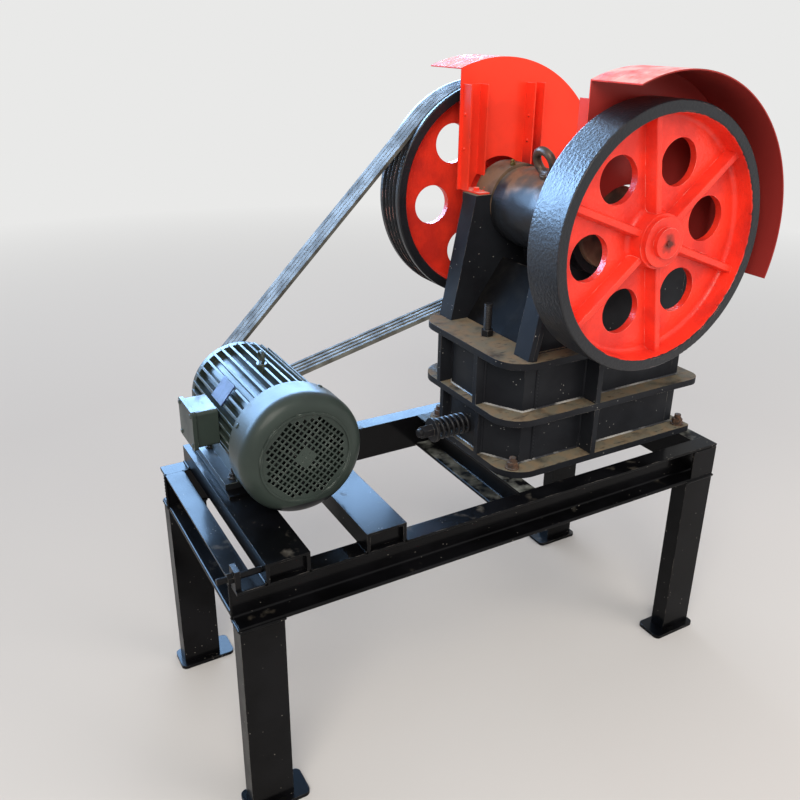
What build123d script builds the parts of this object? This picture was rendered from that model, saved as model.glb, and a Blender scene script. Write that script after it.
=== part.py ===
"""Small jaw crusher with its motor on a welded channel stand.

All lengths are millimetres. X runs along the stand: the motor is at the -X end
and the crusher at the +X end. Y runs across, with the belt side at +Y, and Z is up
from the floor. The pieces are built round the middle of the stand, and the crusher
pieces round the crusher's own centre plane, then all are moved so that the origin
is under the middle of the whole machine.
"""

import os
from math import asin, atan2, cos, degrees, hypot, radians, sin, tan

from build123d import *

# Stand of rolled channel
STAND_LENGTH = 1400.0
STAND_WIDTH = 600.0
STAND_HEIGHT = 620.0
CHANNEL_HEIGHT = 100.0
CHANNEL_WIDTH = 48.0
CHANNEL_WEB = 5.3
CHANNEL_FLANGE = 8.5
CHANNEL_FILLET = 6.0
FOOT_LENGTH = 150.0
FOOT_WIDTH = 80.0
FOOT_THICKNESS = 10.0
FOOT_CORNER = 14.0
FOOT_INSET = 63.0
MOTOR_BEAM_INSET = 114.0
MOTOR_BEAM_SPACING = 234.0

# Crusher body: feed opening, flanges, walls and ribs
CRUSHER_Y = 16.0
FEED_HALF_WIDTH = 125.0
JAW_SIDE_GAP = 8.0
CHEEK_PLATE = 12.0
WALL = 25.0
BODY_LENGTH = 600.0
BODY_END_INSET = 36.0
REAR_FLAT_SHARE = 0.455
REAR_CORNER_RUN = 54.0
REAR_BEND = 20.0
WALL_SEAM = 94.0
FLANGE_THICKNESS = 18.0
FLANGE_REAR_ROUND = 80.0
BASE_REAR_REACH = 14.0
BASE_FRONT_REACH = 29.0
BASE_FRONT_ROUND = 10.0
MIDDLE_REAR_REACH = 26.0
TOP_REAR_REACH = 27.0
UPPER_FRONT_REACH = 48.0
UPPER_FRONT_ROUND = 40.0
FLANGE_SIDE_REACH = 50.0
MIDDLE_FLANGE_RISE = 165.0
TOP_FLANGE_RISE = 319.0
FEED_RISE = 500.0
RIB = 16.0
REAR_RIB_SHARES = (-0.4, 0.62)
SIDE_RIB_SHARE = 0.437
GUARD_SHEET = 7.0
GUARD_SETBACK = 42.0
GUARD_DROP = 154.0

# Bearing pedestals and housings
SHAFT_RISE = 632.0
PEDESTAL_REAR_FOOT = 34.0
PEDESTAL_FRONT_FOOT = 119.0
PEDESTAL_HALF_TOP = 145.0
SHOULDER_RISE = 24.0
SHOULDER_PLATE = 20.0
STRIP_WIDTH = 20.0
STRIP_REACH = 42.0
STRIP_BEVEL = 8.0
SADDLE_WALL = 20.0
HOUSING_RADIUS = 100.0
HOUSING_REACH = 56.0
HOUSING_ROUND = 5.0

# Eccentric shaft
ECCENTRICITY = 8.0
JOURNAL_RADIUS = 37.5
ECCENTRIC_STEP = 10.0
WHEEL_SEAT_STEP = 5.0
SHAFT_COLLAR_GAP = 6.0

# Flywheels
WHEEL_RADIUS = 305.0
WHEEL_WIDTH = 105.0
WHEEL_GAP = 32.0
RIM_THICKNESS = 27.0
RIM_DRAFT = 3.0
RIM_ROUND = 4.0
WEB_THICKNESS = 18.0
WEB_SETBACK = 50.0
WEB_FILLET = 12.0
HUB_RADIUS = 66.0
HUB_DRAFT = 3.0
HUB_SETBACK = 12.0
HUB_INNER_LENGTH = 22.0
WHEEL_HOLE_RADIUS = 54.0
WHEEL_HOLE_CIRCLE = 177.0
WHEEL_HOLE_COUNT = 6
WHEEL_HOLE_START = 9.0
WHEEL_RIB_WIDTH = 25.0
WHEEL_RIB_HEIGHT = 30.0
WHEEL_RIB_DRAFT = 5.0
WHEEL_RIB_ROUND = 3.0
HUB_CAP_RADIUS = 57.0
HUB_CAP_THICKNESS = 10.0
HUB_KNOB_RADIUS = 35.0
HUB_KNOB_THICKNESS = 12.0
HUB_STUD_RADIUS = 6.0
HUB_STUD_LENGTH = 3.0

# Belt drive
BELT_COUNT = 4
BELT_PITCH = 19.0
BELT_TOP = 17.0
BELT_DEPTH = 11.0
BELT_ANGLE = 19.0
BELT_PROUD = 1.5
BELT_CLEARANCE = 0.5
GROOVE_EXTRA = 3.0
PULLEY_RADIUS = 61.0
PULLEY_WIDTH = 82.0
PULLEY_GAP = 6.0

# Swinging jaw
GAPE = 150.0
DISCHARGE_GAP = 31.0
HEAD_RADIUS = 108.0
HEAD_SIDE_GAP = 7.0
HEAD_STEP = 4.0
HEAD_STEP_LENGTH = 30.0
COLLAR_STEP = 7.0
COLLAR_GAP = 6.0
JAW_PLATE = 34.0
JAW_TOP_DROP = 20.0
JAW_BOTTOM_RISE = 66.0
JAW_SHAFT_SETBACK = 111.0
PITMAN_THICKNESS = 70.0
PITMAN_SKIN = 34.0
PITMAN_RIB = 22.0
PITMAN_NECK = 14.0
SEAT_RISE = 170.0
SEAT_DEPTH = 40.0
LUG_HEIGHT = 44.0
TOOTH_PITCH = 25.0
TOOTH_DEPTH = 8.0
TOOTH_FLAT = 5.0

# Toggle, wedge and tension rod
TOGGLE_THICKNESS = 22.0
TOGGLE_SIDE_GAP = 15.0
TOGGLE_GAP = 14.0
WEDGE_DEPTH = 44.0
WEDGE_LEAN = 14.0
WEDGE_SIDE_GAP = 4.0
WEDGE_SEAT_DEPTH = 34.0
WEDGE_OVER_SEAT = 20.0
WEDGE_HEIGHT = 95.0
STUD_RADIUS = 10.0
STUD_PROUD = 87.0
STUD_NUT_HEIGHT = 17.0
STUD_NUT_RADIUS = 17.0
ROD_RADIUS = 11.0
ROD_RISE = 78.0
ROD_REACH = 152.0
ROD_NUT_RADIUS = 18.0
ROD_NUT_LENGTH = 16.0
ROD_NUT_COUNT = 2
SPRING_RADIUS = 25.0
SPRING_WIRE = 4.5
SPRING_TURNS = 6
WASHER_RADIUS = 33.0
WASHER_THICKNESS = 8.0
SPRING_SEAT = 102.0

# Lifting eye on the jaw head
EYE_RADIUS = 31.0
EYE_WIRE = 11.0
EYE_TILT = 20.5
EYE_RISE = 144.0
EYE_OFFSET = -12.0
EYE_COLLAR_RADIUS = 22.0
EYE_COLLAR_HEIGHT = 8.0

# Sheet covers
COVER_RIM_GAP = 61.0
COVER_SHEET = 3.0
COVER_GAP = 24.0
COVER_LIP = 14.0
COVER_LEFT_REACH = 138.0
COVER_END_ANGLE = -20.0
COVER_CUT_CLEARANCE = 6.0
POST_SHEET = 4.0
POST_HEIGHT = 275.0
POST_REAR_PLACE = -130.0
POST_REAR_WIDTH = 56.0
POST_FRONT_PLACE = 78.0
POST_FRONT_WIDTH = 36.0
POST_FOOT_INSET = 10.0

# Motor
MOTOR_SHAFT_HEIGHT = 132.0
MOTOR_LENGTH = 545.0
MOTOR_SHAFT_END = 80.0
MOTOR_SHAFT_RADIUS = 19.0
MOTOR_BELLY_GAP = 2.0
MOTOR_FIN_HEIGHT = 22.0
MOTOR_FIN_COUNT = 36
MOTOR_FIN = 6.0
MOTOR_SHIELD = 34.0
MOTOR_SHIELD_INSET = 6.0
MOTOR_SHIELD_SLOPE = 16.0
MOTOR_SHIELD_NOSE = 62.0
FAN_COVER_STEP = 16.0
FAN_COVER_LENGTH = 92.0
FAN_COVER_SHEET = 2.5
FAN_COVER_ROUND = 34.0
FAN_COVER_SEAT = 12.0
LIP_INNER = 104.0
LIP_OUTER = 109.0
LIP_PROUD = 3.0
GRILLE_RADIUS = 101.0
GRILLE_PITCH = 12.4
GRILLE_HOLE = 8.6
GRILLE_TURN = 45.0
GRILLE_SMALL_HOLE = 2.2
FAN_TIP_GAP = 34.0
FAN_FACE_GAP = 20.0
FAN_DEPTH = 34.0
FAN_BLADES = 8
FAN_BLADE = 4.0
FAN_HUB_RADIUS = 30.0
MOTOR_FOOT_SPREAD = 216.0
MOTOR_FOOT_SPACING = 178.0
MOTOR_FOOT_SETBACK = 89.0
MOTOR_FOOT_LENGTH = 238.0
MOTOR_FOOT_WIDTH = 60.0
MOTOR_FOOT_THICKNESS = 16.0
MOTOR_EYE_SETBACK = 206.0
MOTOR_EYE_RADIUS = 14.0
MOTOR_EYE_WIRE = 4.0
MOTOR_EYE_BOSS = 13.0
MOTOR_EYE_BOSS_RISE = 4.0
RAIL_WIDTH = 64.0
RAIL_LENGTH = 300.0
RAIL_THICKNESS = 8.0
BOX_LENGTH = 112.0
BOX_HEIGHT = 98.0
BOX_DEPTH = 62.0
BOX_RISE = 16.0
BOX_SETBACK = 204.0
BOX_CORNER = 8.0
BOX_LID = 10.0
BOX_LID_EDGE = 4.0

# Belt adjusting screw and anchor bolts
ADJUSTER_RADIUS = 7.0
ADJUSTER_LUG = 12.0
ADJUSTER_LUG_WIDTH = 34.0
ADJUSTER_LUG_HEIGHT = 46.0
ADJUSTER_NUT_RADIUS = 12.0
ADJUSTER_PROUD = 34.0
ANCHOR_RADIUS = 9.0
ANCHOR_NUT_RADIUS = 15.0
ANCHOR_NUT_HEIGHT = 14.0
ANCHOR_WASHER_RADIUS = 19.0
ANCHOR_WASHER_THICKNESS = 3.0
ANCHOR_PROUD = 29.0
ANCHOR_REAR_INSET = 40.0
ANCHOR_FRONT_INSET = 26.0

# Running clearance round loose fits, and how far a cut runs past a face
FIT = 0.3
OVERRUN = 5.0

# Places along and up the crusher, worked out from the sizes above
DECK = STAND_HEIGHT
SHAFT_Z = DECK + SHAFT_RISE
HEAD_Z = SHAFT_Z - ECCENTRICITY
BODY_FRONT_X = STAND_LENGTH / 2 - BODY_END_INSET
BODY_X = BODY_FRONT_X - BODY_LENGTH
FRONT_WALL_X = BODY_FRONT_X - WALL
SEAM_X = BODY_X + WALL_SEAM
FIXED_FACE_X = FRONT_WALL_X - JAW_PLATE
JAW_TOP_BACK_X = FIXED_FACE_X - GAPE - JAW_PLATE
JAW_BOTTOM_BACK_X = FIXED_FACE_X - DISCHARGE_GAP - JAW_PLATE
JAW_TOP_RISE = FEED_RISE - JAW_TOP_DROP
SHAFT_X = JAW_TOP_BACK_X - JAW_SHAFT_SETBACK
STUD_X = BODY_X + WALL + (WEDGE_DEPTH + WEDGE_LEAN) / 2
BASE_TOP = DECK + FLANGE_THICKNESS
MIDDLE_TOP = DECK + MIDDLE_FLANGE_RISE
TOP_TOP = DECK + TOP_FLANGE_RISE
FEED_TOP = DECK + FEED_RISE
SHOULDER_TOP = SHAFT_Z + SHOULDER_RISE

# Places across the crusher, from its centre plane outwards
CAVITY_HALF_WIDTH = FEED_HALF_WIDTH + JAW_SIDE_GAP + CHEEK_PLATE
BODY_HALF_WIDTH = CAVITY_HALF_WIDTH + WALL
FLANGE_HALF_WIDTH = BODY_HALF_WIDTH + FLANGE_SIDE_REACH
HEAD_HALF_WIDTH = FEED_HALF_WIDTH - HEAD_SIDE_GAP
TOGGLE_HALF_WIDTH = FEED_HALF_WIDTH - TOGGLE_SIDE_GAP
STRIP_OUT = BODY_HALF_WIDTH + STRIP_REACH
HOUSING_OUT = BODY_HALF_WIDTH + HOUSING_REACH
COVER_PLATE_Y = HOUSING_OUT + COVER_GAP
WHEEL_BACK_Y = COVER_PLATE_Y + COVER_SHEET + WHEEL_GAP
WHEEL_FACE_Y = WHEEL_BACK_Y + WHEEL_WIDTH
WEB_Y = WHEEL_FACE_Y - WEB_SETBACK
HUB_Y = WHEEL_FACE_Y - HUB_SETBACK
COVER_EDGE_Y = WHEEL_FACE_Y + COVER_LIP
COVER_RADIUS = WHEEL_RADIUS + COVER_RIM_GAP
SEAT_RADIUS = JOURNAL_RADIUS - WHEEL_SEAT_STEP

# Places of the motor and the belt drive
MOTOR_BEAM_X = MOTOR_BEAM_INSET - STAND_LENGTH / 2
MOTOR_BEAM_CENTRES = (MOTOR_BEAM_X, MOTOR_BEAM_X + MOTOR_BEAM_SPACING)
MOTOR_X = MOTOR_BEAM_X + MOTOR_FOOT_SPREAD / 2
MOTOR_DECK = STAND_HEIGHT + CHANNEL_WIDTH + RAIL_THICKNESS
MOTOR_Z = MOTOR_DECK + MOTOR_SHAFT_HEIGHT
MOTOR_FIN_RADIUS = MOTOR_SHAFT_HEIGHT - MOTOR_BELLY_GAP
MOTOR_CORE_RADIUS = MOTOR_FIN_RADIUS - MOTOR_FIN_HEIGHT
FAN_COVER_RADIUS = MOTOR_FIN_RADIUS + FAN_COVER_STEP
BELT_Y = CRUSHER_Y + WHEEL_FACE_Y - WHEEL_WIDTH / 2
MOTOR_DRIVE_END = BELT_Y - PULLEY_WIDTH / 2 - PULLEY_GAP
MOTOR_FAN_END = MOTOR_DRIVE_END + MOTOR_SHAFT_END - MOTOR_LENGTH
MOTOR_BODY_START = MOTOR_FAN_END + FAN_COVER_LENGTH
FAN_START = MOTOR_FAN_END + LIP_PROUD + FAN_COVER_SHEET + FAN_FACE_GAP
SIDES = (-1, 1)


def block(x0, x1, y0, y1, z0, z1):
    """Rectangular bar between three pairs of planes."""
    return Pos(x0, y0, z0) * Box(x1 - x0, y1 - y0, z1 - z0, align=(Align.MIN, Align.MIN, Align.MIN))


def bar(radius, length):
    """Round bar along +Z from the origin."""
    return Cylinder(radius, length, align=(Align.CENTER, Align.CENTER, Align.MIN))


def drum(radius, y0, y1, x=SHAFT_X, z=SHAFT_Z):
    """Round bar along Y between two planes."""
    return Pos(x, y0, z) * Rot(-90, 0, 0) * bar(radius, y1 - y0)


def upright(radius, x, y, z0, z1):
    """Round bar along Z between two heights."""
    return Pos(x, y, z0) * bar(radius, z1 - z0)


def along_x(radius, x0, x1, y, z):
    """Round bar along X between two planes."""
    return Pos(x0, y, z) * Rot(0, 90, 0) * bar(radius, x1 - x0)


def side_plate(points, y0, y1):
    """Plate cut to an outline of (x, z) points, between two planes across the machine."""
    face = make_face(Polyline(*[(x, -z) for x, z in points], close=True))
    return Pos(0, y0, 0) * Rot(-90, 0, 0) * extrude(face, y1 - y0)


def turned(profile, x, z):
    """Solid of revolution about an axis along Y, from a profile of (radius, y)."""
    return Pos(x, 0, z) * revolve(profile, Axis.Y)


def both_sides(piece):
    """The piece of the +Y side and its mirror image on the other side."""
    return [piece, mirror(piece, Plane.XZ)]


def channel_bar(length):
    """Rolled channel along +X: web on the plane y = 0, toes towards +Y, standing on z = 0."""
    section = make_face(Polyline(
        (0, 0), (CHANNEL_WIDTH, 0), (CHANNEL_WIDTH, CHANNEL_FLANGE), (CHANNEL_WEB, CHANNEL_FLANGE),
        (CHANNEL_WEB, CHANNEL_HEIGHT - CHANNEL_FLANGE), (CHANNEL_WIDTH, CHANNEL_HEIGHT - CHANNEL_FLANGE),
        (CHANNEL_WIDTH, CHANNEL_HEIGHT), (0, CHANNEL_HEIGHT), close=True))
    inner = [v for v in section.vertices() if abs(v.X - CHANNEL_WEB) < FIT]
    section = fillet(inner, CHANNEL_FILLET)
    toes = [v for v in section.vertices()
            if abs(v.X - CHANNEL_WIDTH) < FIT and FIT < v.Y < CHANNEL_HEIGHT - FIT]
    section = fillet(toes, CHANNEL_FLANGE / 2)
    return extrude(Plane.YZ * section, length)


def stand_pieces():
    """Long beams, end beams, motor beams, legs and foot plates of the stand."""
    pieces = {}
    level = STAND_HEIGHT - CHANNEL_HEIGHT
    end_x = STAND_LENGTH / 2
    web_y = STAND_WIDTH / 2 - CHANNEL_WIDTH
    cross_x = BODY_X - BASE_REAR_REACH + CHANNEL_WIDTH
    pieces["front_beam"] = Pos(end_x, -web_y, level) * Rot(0, 0, 180) * channel_bar(STAND_LENGTH)
    pieces["back_beam"] = Pos(-end_x, web_y, level) * channel_bar(STAND_LENGTH)
    between = channel_bar(2 * web_y)
    pieces["motor_end_beam"] = Pos(-end_x + CHANNEL_WIDTH, -web_y, level) * Rot(0, 0, 90) * between
    pieces["crusher_end_beam"] = Pos(end_x - CHANNEL_WIDTH, web_y, level) * Rot(0, 0, -90) * between
    pieces["crusher_cross_beam"] = Pos(cross_x, -web_y, level) * Rot(0, 0, 90) * between
    lying = Rot(0, 0, 90) * Rot(-90, 0, 0) * channel_bar(STAND_WIDTH)
    pieces["motor_beams"] = [
        Pos(centre + CHANNEL_HEIGHT / 2, -STAND_WIDTH / 2, STAND_HEIGHT + CHANNEL_WIDTH) * lying
        for centre in MOTOR_BEAM_CENTRES]
    leg = Rot(0, -90, 0) * channel_bar(level - FOOT_THICKNESS)
    pieces["legs"] = [
        Pos(x, y, FOOT_THICKNESS) * leg
        for x in (CHANNEL_HEIGHT - end_x, end_x) for y in (-STAND_WIDTH / 2, web_y)]
    foot = extrude(RectangleRounded(FOOT_LENGTH, FOOT_WIDTH, FOOT_CORNER), FOOT_THICKNESS)
    foot_y = STAND_WIDTH / 2 - CHANNEL_WIDTH / 2
    foot_x = end_x - FOOT_INSET
    pieces["foot_plates"] = [Pos(sx * foot_x, sy * foot_y, 0) * foot for sx in SIDES for sy in SIDES]
    return pieces


def body_plan():
    """Plan of the crusher body: square in front, with the rear corners cut off obliquely."""
    flat = REAR_FLAT_SHARE * BODY_HALF_WIDTH
    corner_x = BODY_X + REAR_CORNER_RUN
    return make_face(Polyline(
        (BODY_X, -flat), (corner_x, -BODY_HALF_WIDTH), (BODY_FRONT_X, -BODY_HALF_WIDTH),
        (BODY_FRONT_X, BODY_HALF_WIDTH), (corner_x, BODY_HALF_WIDTH), (BODY_X, flat), close=True))


def raised(plan, z0, z1):
    """A plan made solid between two heights."""
    return Pos(0, 0, z0) * extrude(plan, z1 - z0)


def flange_plate(rear_reach, front_reach, front_round, top):
    """Level plate that stands out all round the body, with round corners."""
    x0 = BODY_X - rear_reach
    x1 = BODY_FRONT_X + front_reach
    plan = make_face(Polyline(
        (x0, -FLANGE_HALF_WIDTH), (x1, -FLANGE_HALF_WIDTH), (x1, FLANGE_HALF_WIDTH), (x0, FLANGE_HALF_WIDTH),
        close=True))
    plan = fillet([v for v in plan.vertices() if v.X < BODY_X], FLANGE_REAR_ROUND)
    plan = fillet([v for v in plan.vertices() if v.X > BODY_FRONT_X], front_round)
    return raised(plan, top - FLANGE_THICKNESS, top)


def front_slope_x(z):
    """X of the front edge of a bearing pedestal at a height."""
    foot = BODY_FRONT_X - PEDESTAL_FRONT_FOOT
    top = SHAFT_X + PEDESTAL_HALF_TOP
    return foot + (top - foot) * (z - TOP_TOP) / (SHOULDER_TOP - TOP_TOP)


def body_pieces():
    """Flanges, walls and ribs of the crusher body."""
    pieces = {}
    low = DECK - OVERRUN
    high = FEED_TOP + OVERRUN
    plan = body_plan()
    hollow_plan = offset(plan, -WALL, kind=Kind.INTERSECTION)
    bent_plan = fillet([v for v in plan.vertices() if abs(v.X - BODY_X) < FIT], REAR_BEND)
    hollow = raised(hollow_plan, low, high)
    outside = raised(bent_plan, low, high)
    base = flange_plate(BASE_REAR_REACH, BASE_FRONT_REACH, BASE_FRONT_ROUND, BASE_TOP)
    middle = flange_plate(MIDDLE_REAR_REACH, UPPER_FRONT_REACH, UPPER_FRONT_ROUND, MIDDLE_TOP)
    top = flange_plate(TOP_REAR_REACH, UPPER_FRONT_REACH, UPPER_FRONT_ROUND, TOP_TOP)
    pieces["base_flange"] = base - hollow
    pieces["middle_flange"] = middle - outside
    feed = block(SEAM_X, BODY_FRONT_X, -BODY_HALF_WIDTH, BODY_HALF_WIDTH, low, high)
    pieces["top_flange"] = top - feed - upright(STUD_RADIUS + FIT, STUD_X, 0, low, high)
    rear = block(BODY_X - OVERRUN, SEAM_X, -BODY_HALF_WIDTH, BODY_HALF_WIDTH, BASE_TOP,
                 TOP_TOP - FLANGE_THICKNESS)
    rod_hole = along_x(ROD_RADIUS + FIT, BODY_X - OVERRUN, SEAM_X, 0, DECK + ROD_RISE)
    pieces["rear_wall"] = ((outside - hollow) & rear) - rod_hole
    pieces["front_wall"] = block(
        FRONT_WALL_X, BODY_FRONT_X, -BODY_HALF_WIDTH, BODY_HALF_WIDTH, BASE_TOP, FEED_TOP)
    wall = side_plate((
        (SEAM_X, BASE_TOP), (FRONT_WALL_X, BASE_TOP), (FRONT_WALL_X, FEED_TOP),
        (front_slope_x(FEED_TOP), FEED_TOP), (front_slope_x(TOP_TOP), TOP_TOP), (SEAM_X, TOP_TOP)),
        CAVITY_HALF_WIDTH, BODY_HALF_WIDTH)
    pieces["side_walls"] = both_sides(wall)
    pieces["stiffening_ribs"] = rib_solids(outside)
    guard_x = SHAFT_X - GUARD_SETBACK
    guard_z = SHAFT_Z - GUARD_DROP
    pieces["rear_guard_plate"] = side_plate((
        (SEAM_X, TOP_TOP), (guard_x, guard_z), (guard_x - GUARD_SHEET, guard_z),
        (SEAM_X - GUARD_SHEET, TOP_TOP)), -CAVITY_HALF_WIDTH, CAVITY_HALF_WIDTH)
    return pieces


def rib_solids(outside):
    """Upright ribs between the flanges, each one ending on the body wall."""
    ribs = []
    tiers = ((BASE_TOP, MIDDLE_TOP - FLANGE_THICKNESS, BASE_REAR_REACH),
             (MIDDLE_TOP, TOP_TOP - FLANGE_THICKNESS, MIDDLE_REAR_REACH))
    side_x = BODY_X + SIDE_RIB_SHARE * BODY_LENGTH
    for z0, z1, reach in tiers:
        for share in REAR_RIB_SHARES:
            y = share * BODY_HALF_WIDTH
            ribs.append(block(BODY_X - reach, SEAM_X - WALL, y - RIB / 2, y + RIB / 2, z0, z1) - outside)
        side = block(side_x - RIB / 2, side_x + RIB / 2, BODY_HALF_WIDTH, FLANGE_HALF_WIDTH, z0, z1)
        ribs.extend(both_sides(side))
    return ribs


def pedestal():
    """Bearing pedestal of the +Y side: web, edge strips, shoulder plate, cradle and rib, all welded."""
    rear_foot = BODY_X + PEDESTAL_REAR_FOOT
    rear_top = SHAFT_X - PEDESTAL_HALF_TOP
    front_foot = front_slope_x(TOP_TOP)
    front_top = front_slope_x(SHOULDER_TOP)
    rise = SHOULDER_TOP - TOP_TOP
    piece = side_plate((
        (rear_foot, TOP_TOP), (front_foot, TOP_TOP), (front_top, SHOULDER_TOP), (rear_top, SHOULDER_TOP)),
        CAVITY_HALF_WIDTH, BODY_HALF_WIDTH)
    for foot, top, inward in ((rear_foot, rear_top, 1), (front_foot, front_top, -1)):
        strip = make_face(Polyline(
            (0, CAVITY_HALF_WIDTH), (inward * STRIP_WIDTH, CAVITY_HALF_WIDTH),
            (inward * STRIP_WIDTH, STRIP_OUT), (inward * STRIP_BEVEL, STRIP_OUT),
            (0, STRIP_OUT - STRIP_BEVEL), close=True))
        piece += Solid.extrude((Pos(foot, 0, TOP_TOP) * strip).face(), Vector(top - foot, 0, rise))
    piece += block(rear_top, front_top, BODY_HALF_WIDTH, STRIP_OUT, SHOULDER_TOP - SHOULDER_PLATE,
                   SHOULDER_TOP)
    cradle_radius = HOUSING_RADIUS + SADDLE_WALL
    cradle = drum(cradle_radius, BODY_HALF_WIDTH, STRIP_OUT)
    cradle &= block(rear_top, front_top, BODY_HALF_WIDTH, STRIP_OUT, SHAFT_Z - cradle_radius, SHOULDER_TOP)
    rib = block(SHAFT_X - RIB / 2, SHAFT_X + RIB / 2, BODY_HALF_WIDTH, STRIP_OUT, TOP_TOP,
                SHAFT_Z - HOUSING_RADIUS)
    piece += cradle + rib
    return piece - drum(HOUSING_RADIUS, CAVITY_HALF_WIDTH - OVERRUN, STRIP_OUT + OVERRUN)


def housing():
    """Round bearing housing of the +Y side, with the shaft's bore through it."""
    bore = JOURNAL_RADIUS + FIT
    profile = make_face(Polyline(
        (bore, CAVITY_HALF_WIDTH), (HOUSING_RADIUS, CAVITY_HALF_WIDTH), (HOUSING_RADIUS, HOUSING_OUT),
        (bore, HOUSING_OUT), close=True))
    edge = [v for v in profile.vertices() if v.X > bore + FIT and v.Y > CAVITY_HALF_WIDTH + FIT]
    return turned(fillet(edge, HOUSING_ROUND), SHAFT_X, SHAFT_Z)


def bearing_pieces():
    """Pedestals of both sides and the round housings that they cradle."""
    return {"bearing_pedestals": both_sides(pedestal()), "bearing_caps": both_sides(housing())}


def groove_section(outer, y_centre):
    """What the V grooves remove from the profile of a rim with this radius."""
    half_top = BELT_TOP / 2 + BELT_CLEARANCE
    lean = tan(radians(BELT_ANGLE))
    floor = outer - (BELT_DEPTH - BELT_PROUD + GROOVE_EXTRA)
    half_floor = half_top - (outer - floor) * lean
    mouth = outer + OVERRUN
    half_mouth = half_top + OVERRUN * lean
    section = Sketch()
    for index in range(BELT_COUNT):
        y = y_centre + (index - (BELT_COUNT - 1) / 2) * BELT_PITCH
        section += make_face(Polyline(
            (mouth, y - half_mouth), (mouth, y + half_mouth), (floor, y + half_floor),
            (floor, y - half_floor), close=True))
    return section


def wheel_profile():
    """Half section of a flywheel: hub, web and rim, with the round corners of the casting."""
    bore = SEAT_RADIUS + FIT
    inner = WHEEL_RADIUS - RIM_THICKNESS
    web_back = WEB_Y - WEB_THICKNESS
    profile = make_face(Polyline(
        (bore, WHEEL_BACK_Y - HUB_INNER_LENGTH), (HUB_RADIUS - HUB_DRAFT, WHEEL_BACK_Y - HUB_INNER_LENGTH),
        (HUB_RADIUS, web_back), (inner - RIM_DRAFT, web_back), (inner, WHEEL_BACK_Y),
        (WHEEL_RADIUS, WHEEL_BACK_Y), (WHEEL_RADIUS, WHEEL_FACE_Y), (inner, WHEEL_FACE_Y),
        (inner - RIM_DRAFT, WEB_Y), (HUB_RADIUS, WEB_Y), (HUB_RADIUS - HUB_DRAFT, HUB_Y), (bore, HUB_Y),
        close=True))
    web_corners = [v for v in profile.vertices() if web_back - FIT < v.Y < WEB_Y + FIT]
    profile = fillet(web_corners, WEB_FILLET)
    rim_corners = [v for v in profile.vertices()
                   if v.X > HUB_RADIUS and (v.Y > WHEEL_FACE_Y - FIT or v.Y < WHEEL_BACK_Y + FIT)]
    return fillet(rim_corners, RIM_ROUND)


def flywheel(grooved):
    """Flywheel on the +Y side: a web with six round holes, and ribs from hub to rim on its outer side."""
    profile = wheel_profile()
    if grooved:
        profile -= groove_section(WHEEL_RADIUS, WHEEL_FACE_Y - WHEEL_WIDTH / 2)
    wheel = turned(profile, SHAFT_X, SHAFT_Z)
    rib = rib_bar()
    step = 360 / WHEEL_HOLE_COUNT
    for index in range(WHEEL_HOLE_COUNT):
        turn = WHEEL_HOLE_START + step * index
        hole_x = SHAFT_X + WHEEL_HOLE_CIRCLE * cos(radians(turn))
        hole_z = SHAFT_Z + WHEEL_HOLE_CIRCLE * sin(radians(turn))
        wheel -= drum(WHEEL_HOLE_RADIUS, WEB_Y - WEB_THICKNESS - OVERRUN, WEB_Y + OVERRUN, hole_x, hole_z)
        wheel += Pos(SHAFT_X, WEB_Y, SHAFT_Z) * Rot(0, -turn - step / 2, 0) * rib
    return wheel


def rib_bar():
    """Tapered rib of a flywheel, along +X from the hub into the rim, rising towards +Y from the web."""
    start = HUB_RADIUS - OVERRUN
    end = WHEEL_RADIUS - RIM_THICKNESS + OVERRUN
    half = WHEEL_RIB_WIDTH / 2
    crest = half - WHEEL_RIB_DRAFT
    section = make_face(Polyline(
        (-OVERRUN, -half), (0, -half), (WHEEL_RIB_HEIGHT, -crest), (WHEEL_RIB_HEIGHT, crest), (0, half),
        (-OVERRUN, half), close=True))
    section = fillet([v for v in section.vertices() if v.X > OVERRUN], WHEEL_RIB_ROUND)
    return Pos(start, 0, 0) * extrude(Plane.YZ * section, end - start)


def wheel_pieces():
    """Both flywheels, the hub caps and the eccentric shaft."""
    pieces = {}
    pieces["flywheel_back"] = flywheel(grooved=True)
    pieces["flywheel_front"] = mirror(flywheel(grooved=False), Plane.XZ)
    knob_y = HUB_Y + HUB_CAP_THICKNESS
    stud_y = knob_y + HUB_KNOB_THICKNESS
    cap = drum(HUB_CAP_RADIUS, HUB_Y, knob_y) + drum(HUB_KNOB_RADIUS, knob_y, stud_y)
    cap += drum(HUB_STUD_RADIUS, stud_y, stud_y + HUB_STUD_LENGTH)
    pieces["hub_caps"] = both_sides(cap)
    journal_y = HOUSING_OUT + SHAFT_COLLAR_GAP
    shaft = drum(SEAT_RADIUS, -HUB_Y, HUB_Y) + drum(JOURNAL_RADIUS, -journal_y, journal_y)
    shaft += drum(JOURNAL_RADIUS + ECCENTRIC_STEP, -HEAD_HALF_WIDTH, HEAD_HALF_WIDTH, z=HEAD_Z)
    pieces["eccentric_shaft"] = shaft
    return pieces


def jaw_back_x(rise):
    """X of the back of the moving jaw plate at a height above the deck."""
    along = (rise - JAW_BOTTOM_RISE) / (JAW_TOP_RISE - JAW_BOTTOM_RISE)
    return JAW_BOTTOM_BACK_X + (JAW_TOP_BACK_X - JAW_BOTTOM_BACK_X) * along


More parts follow.
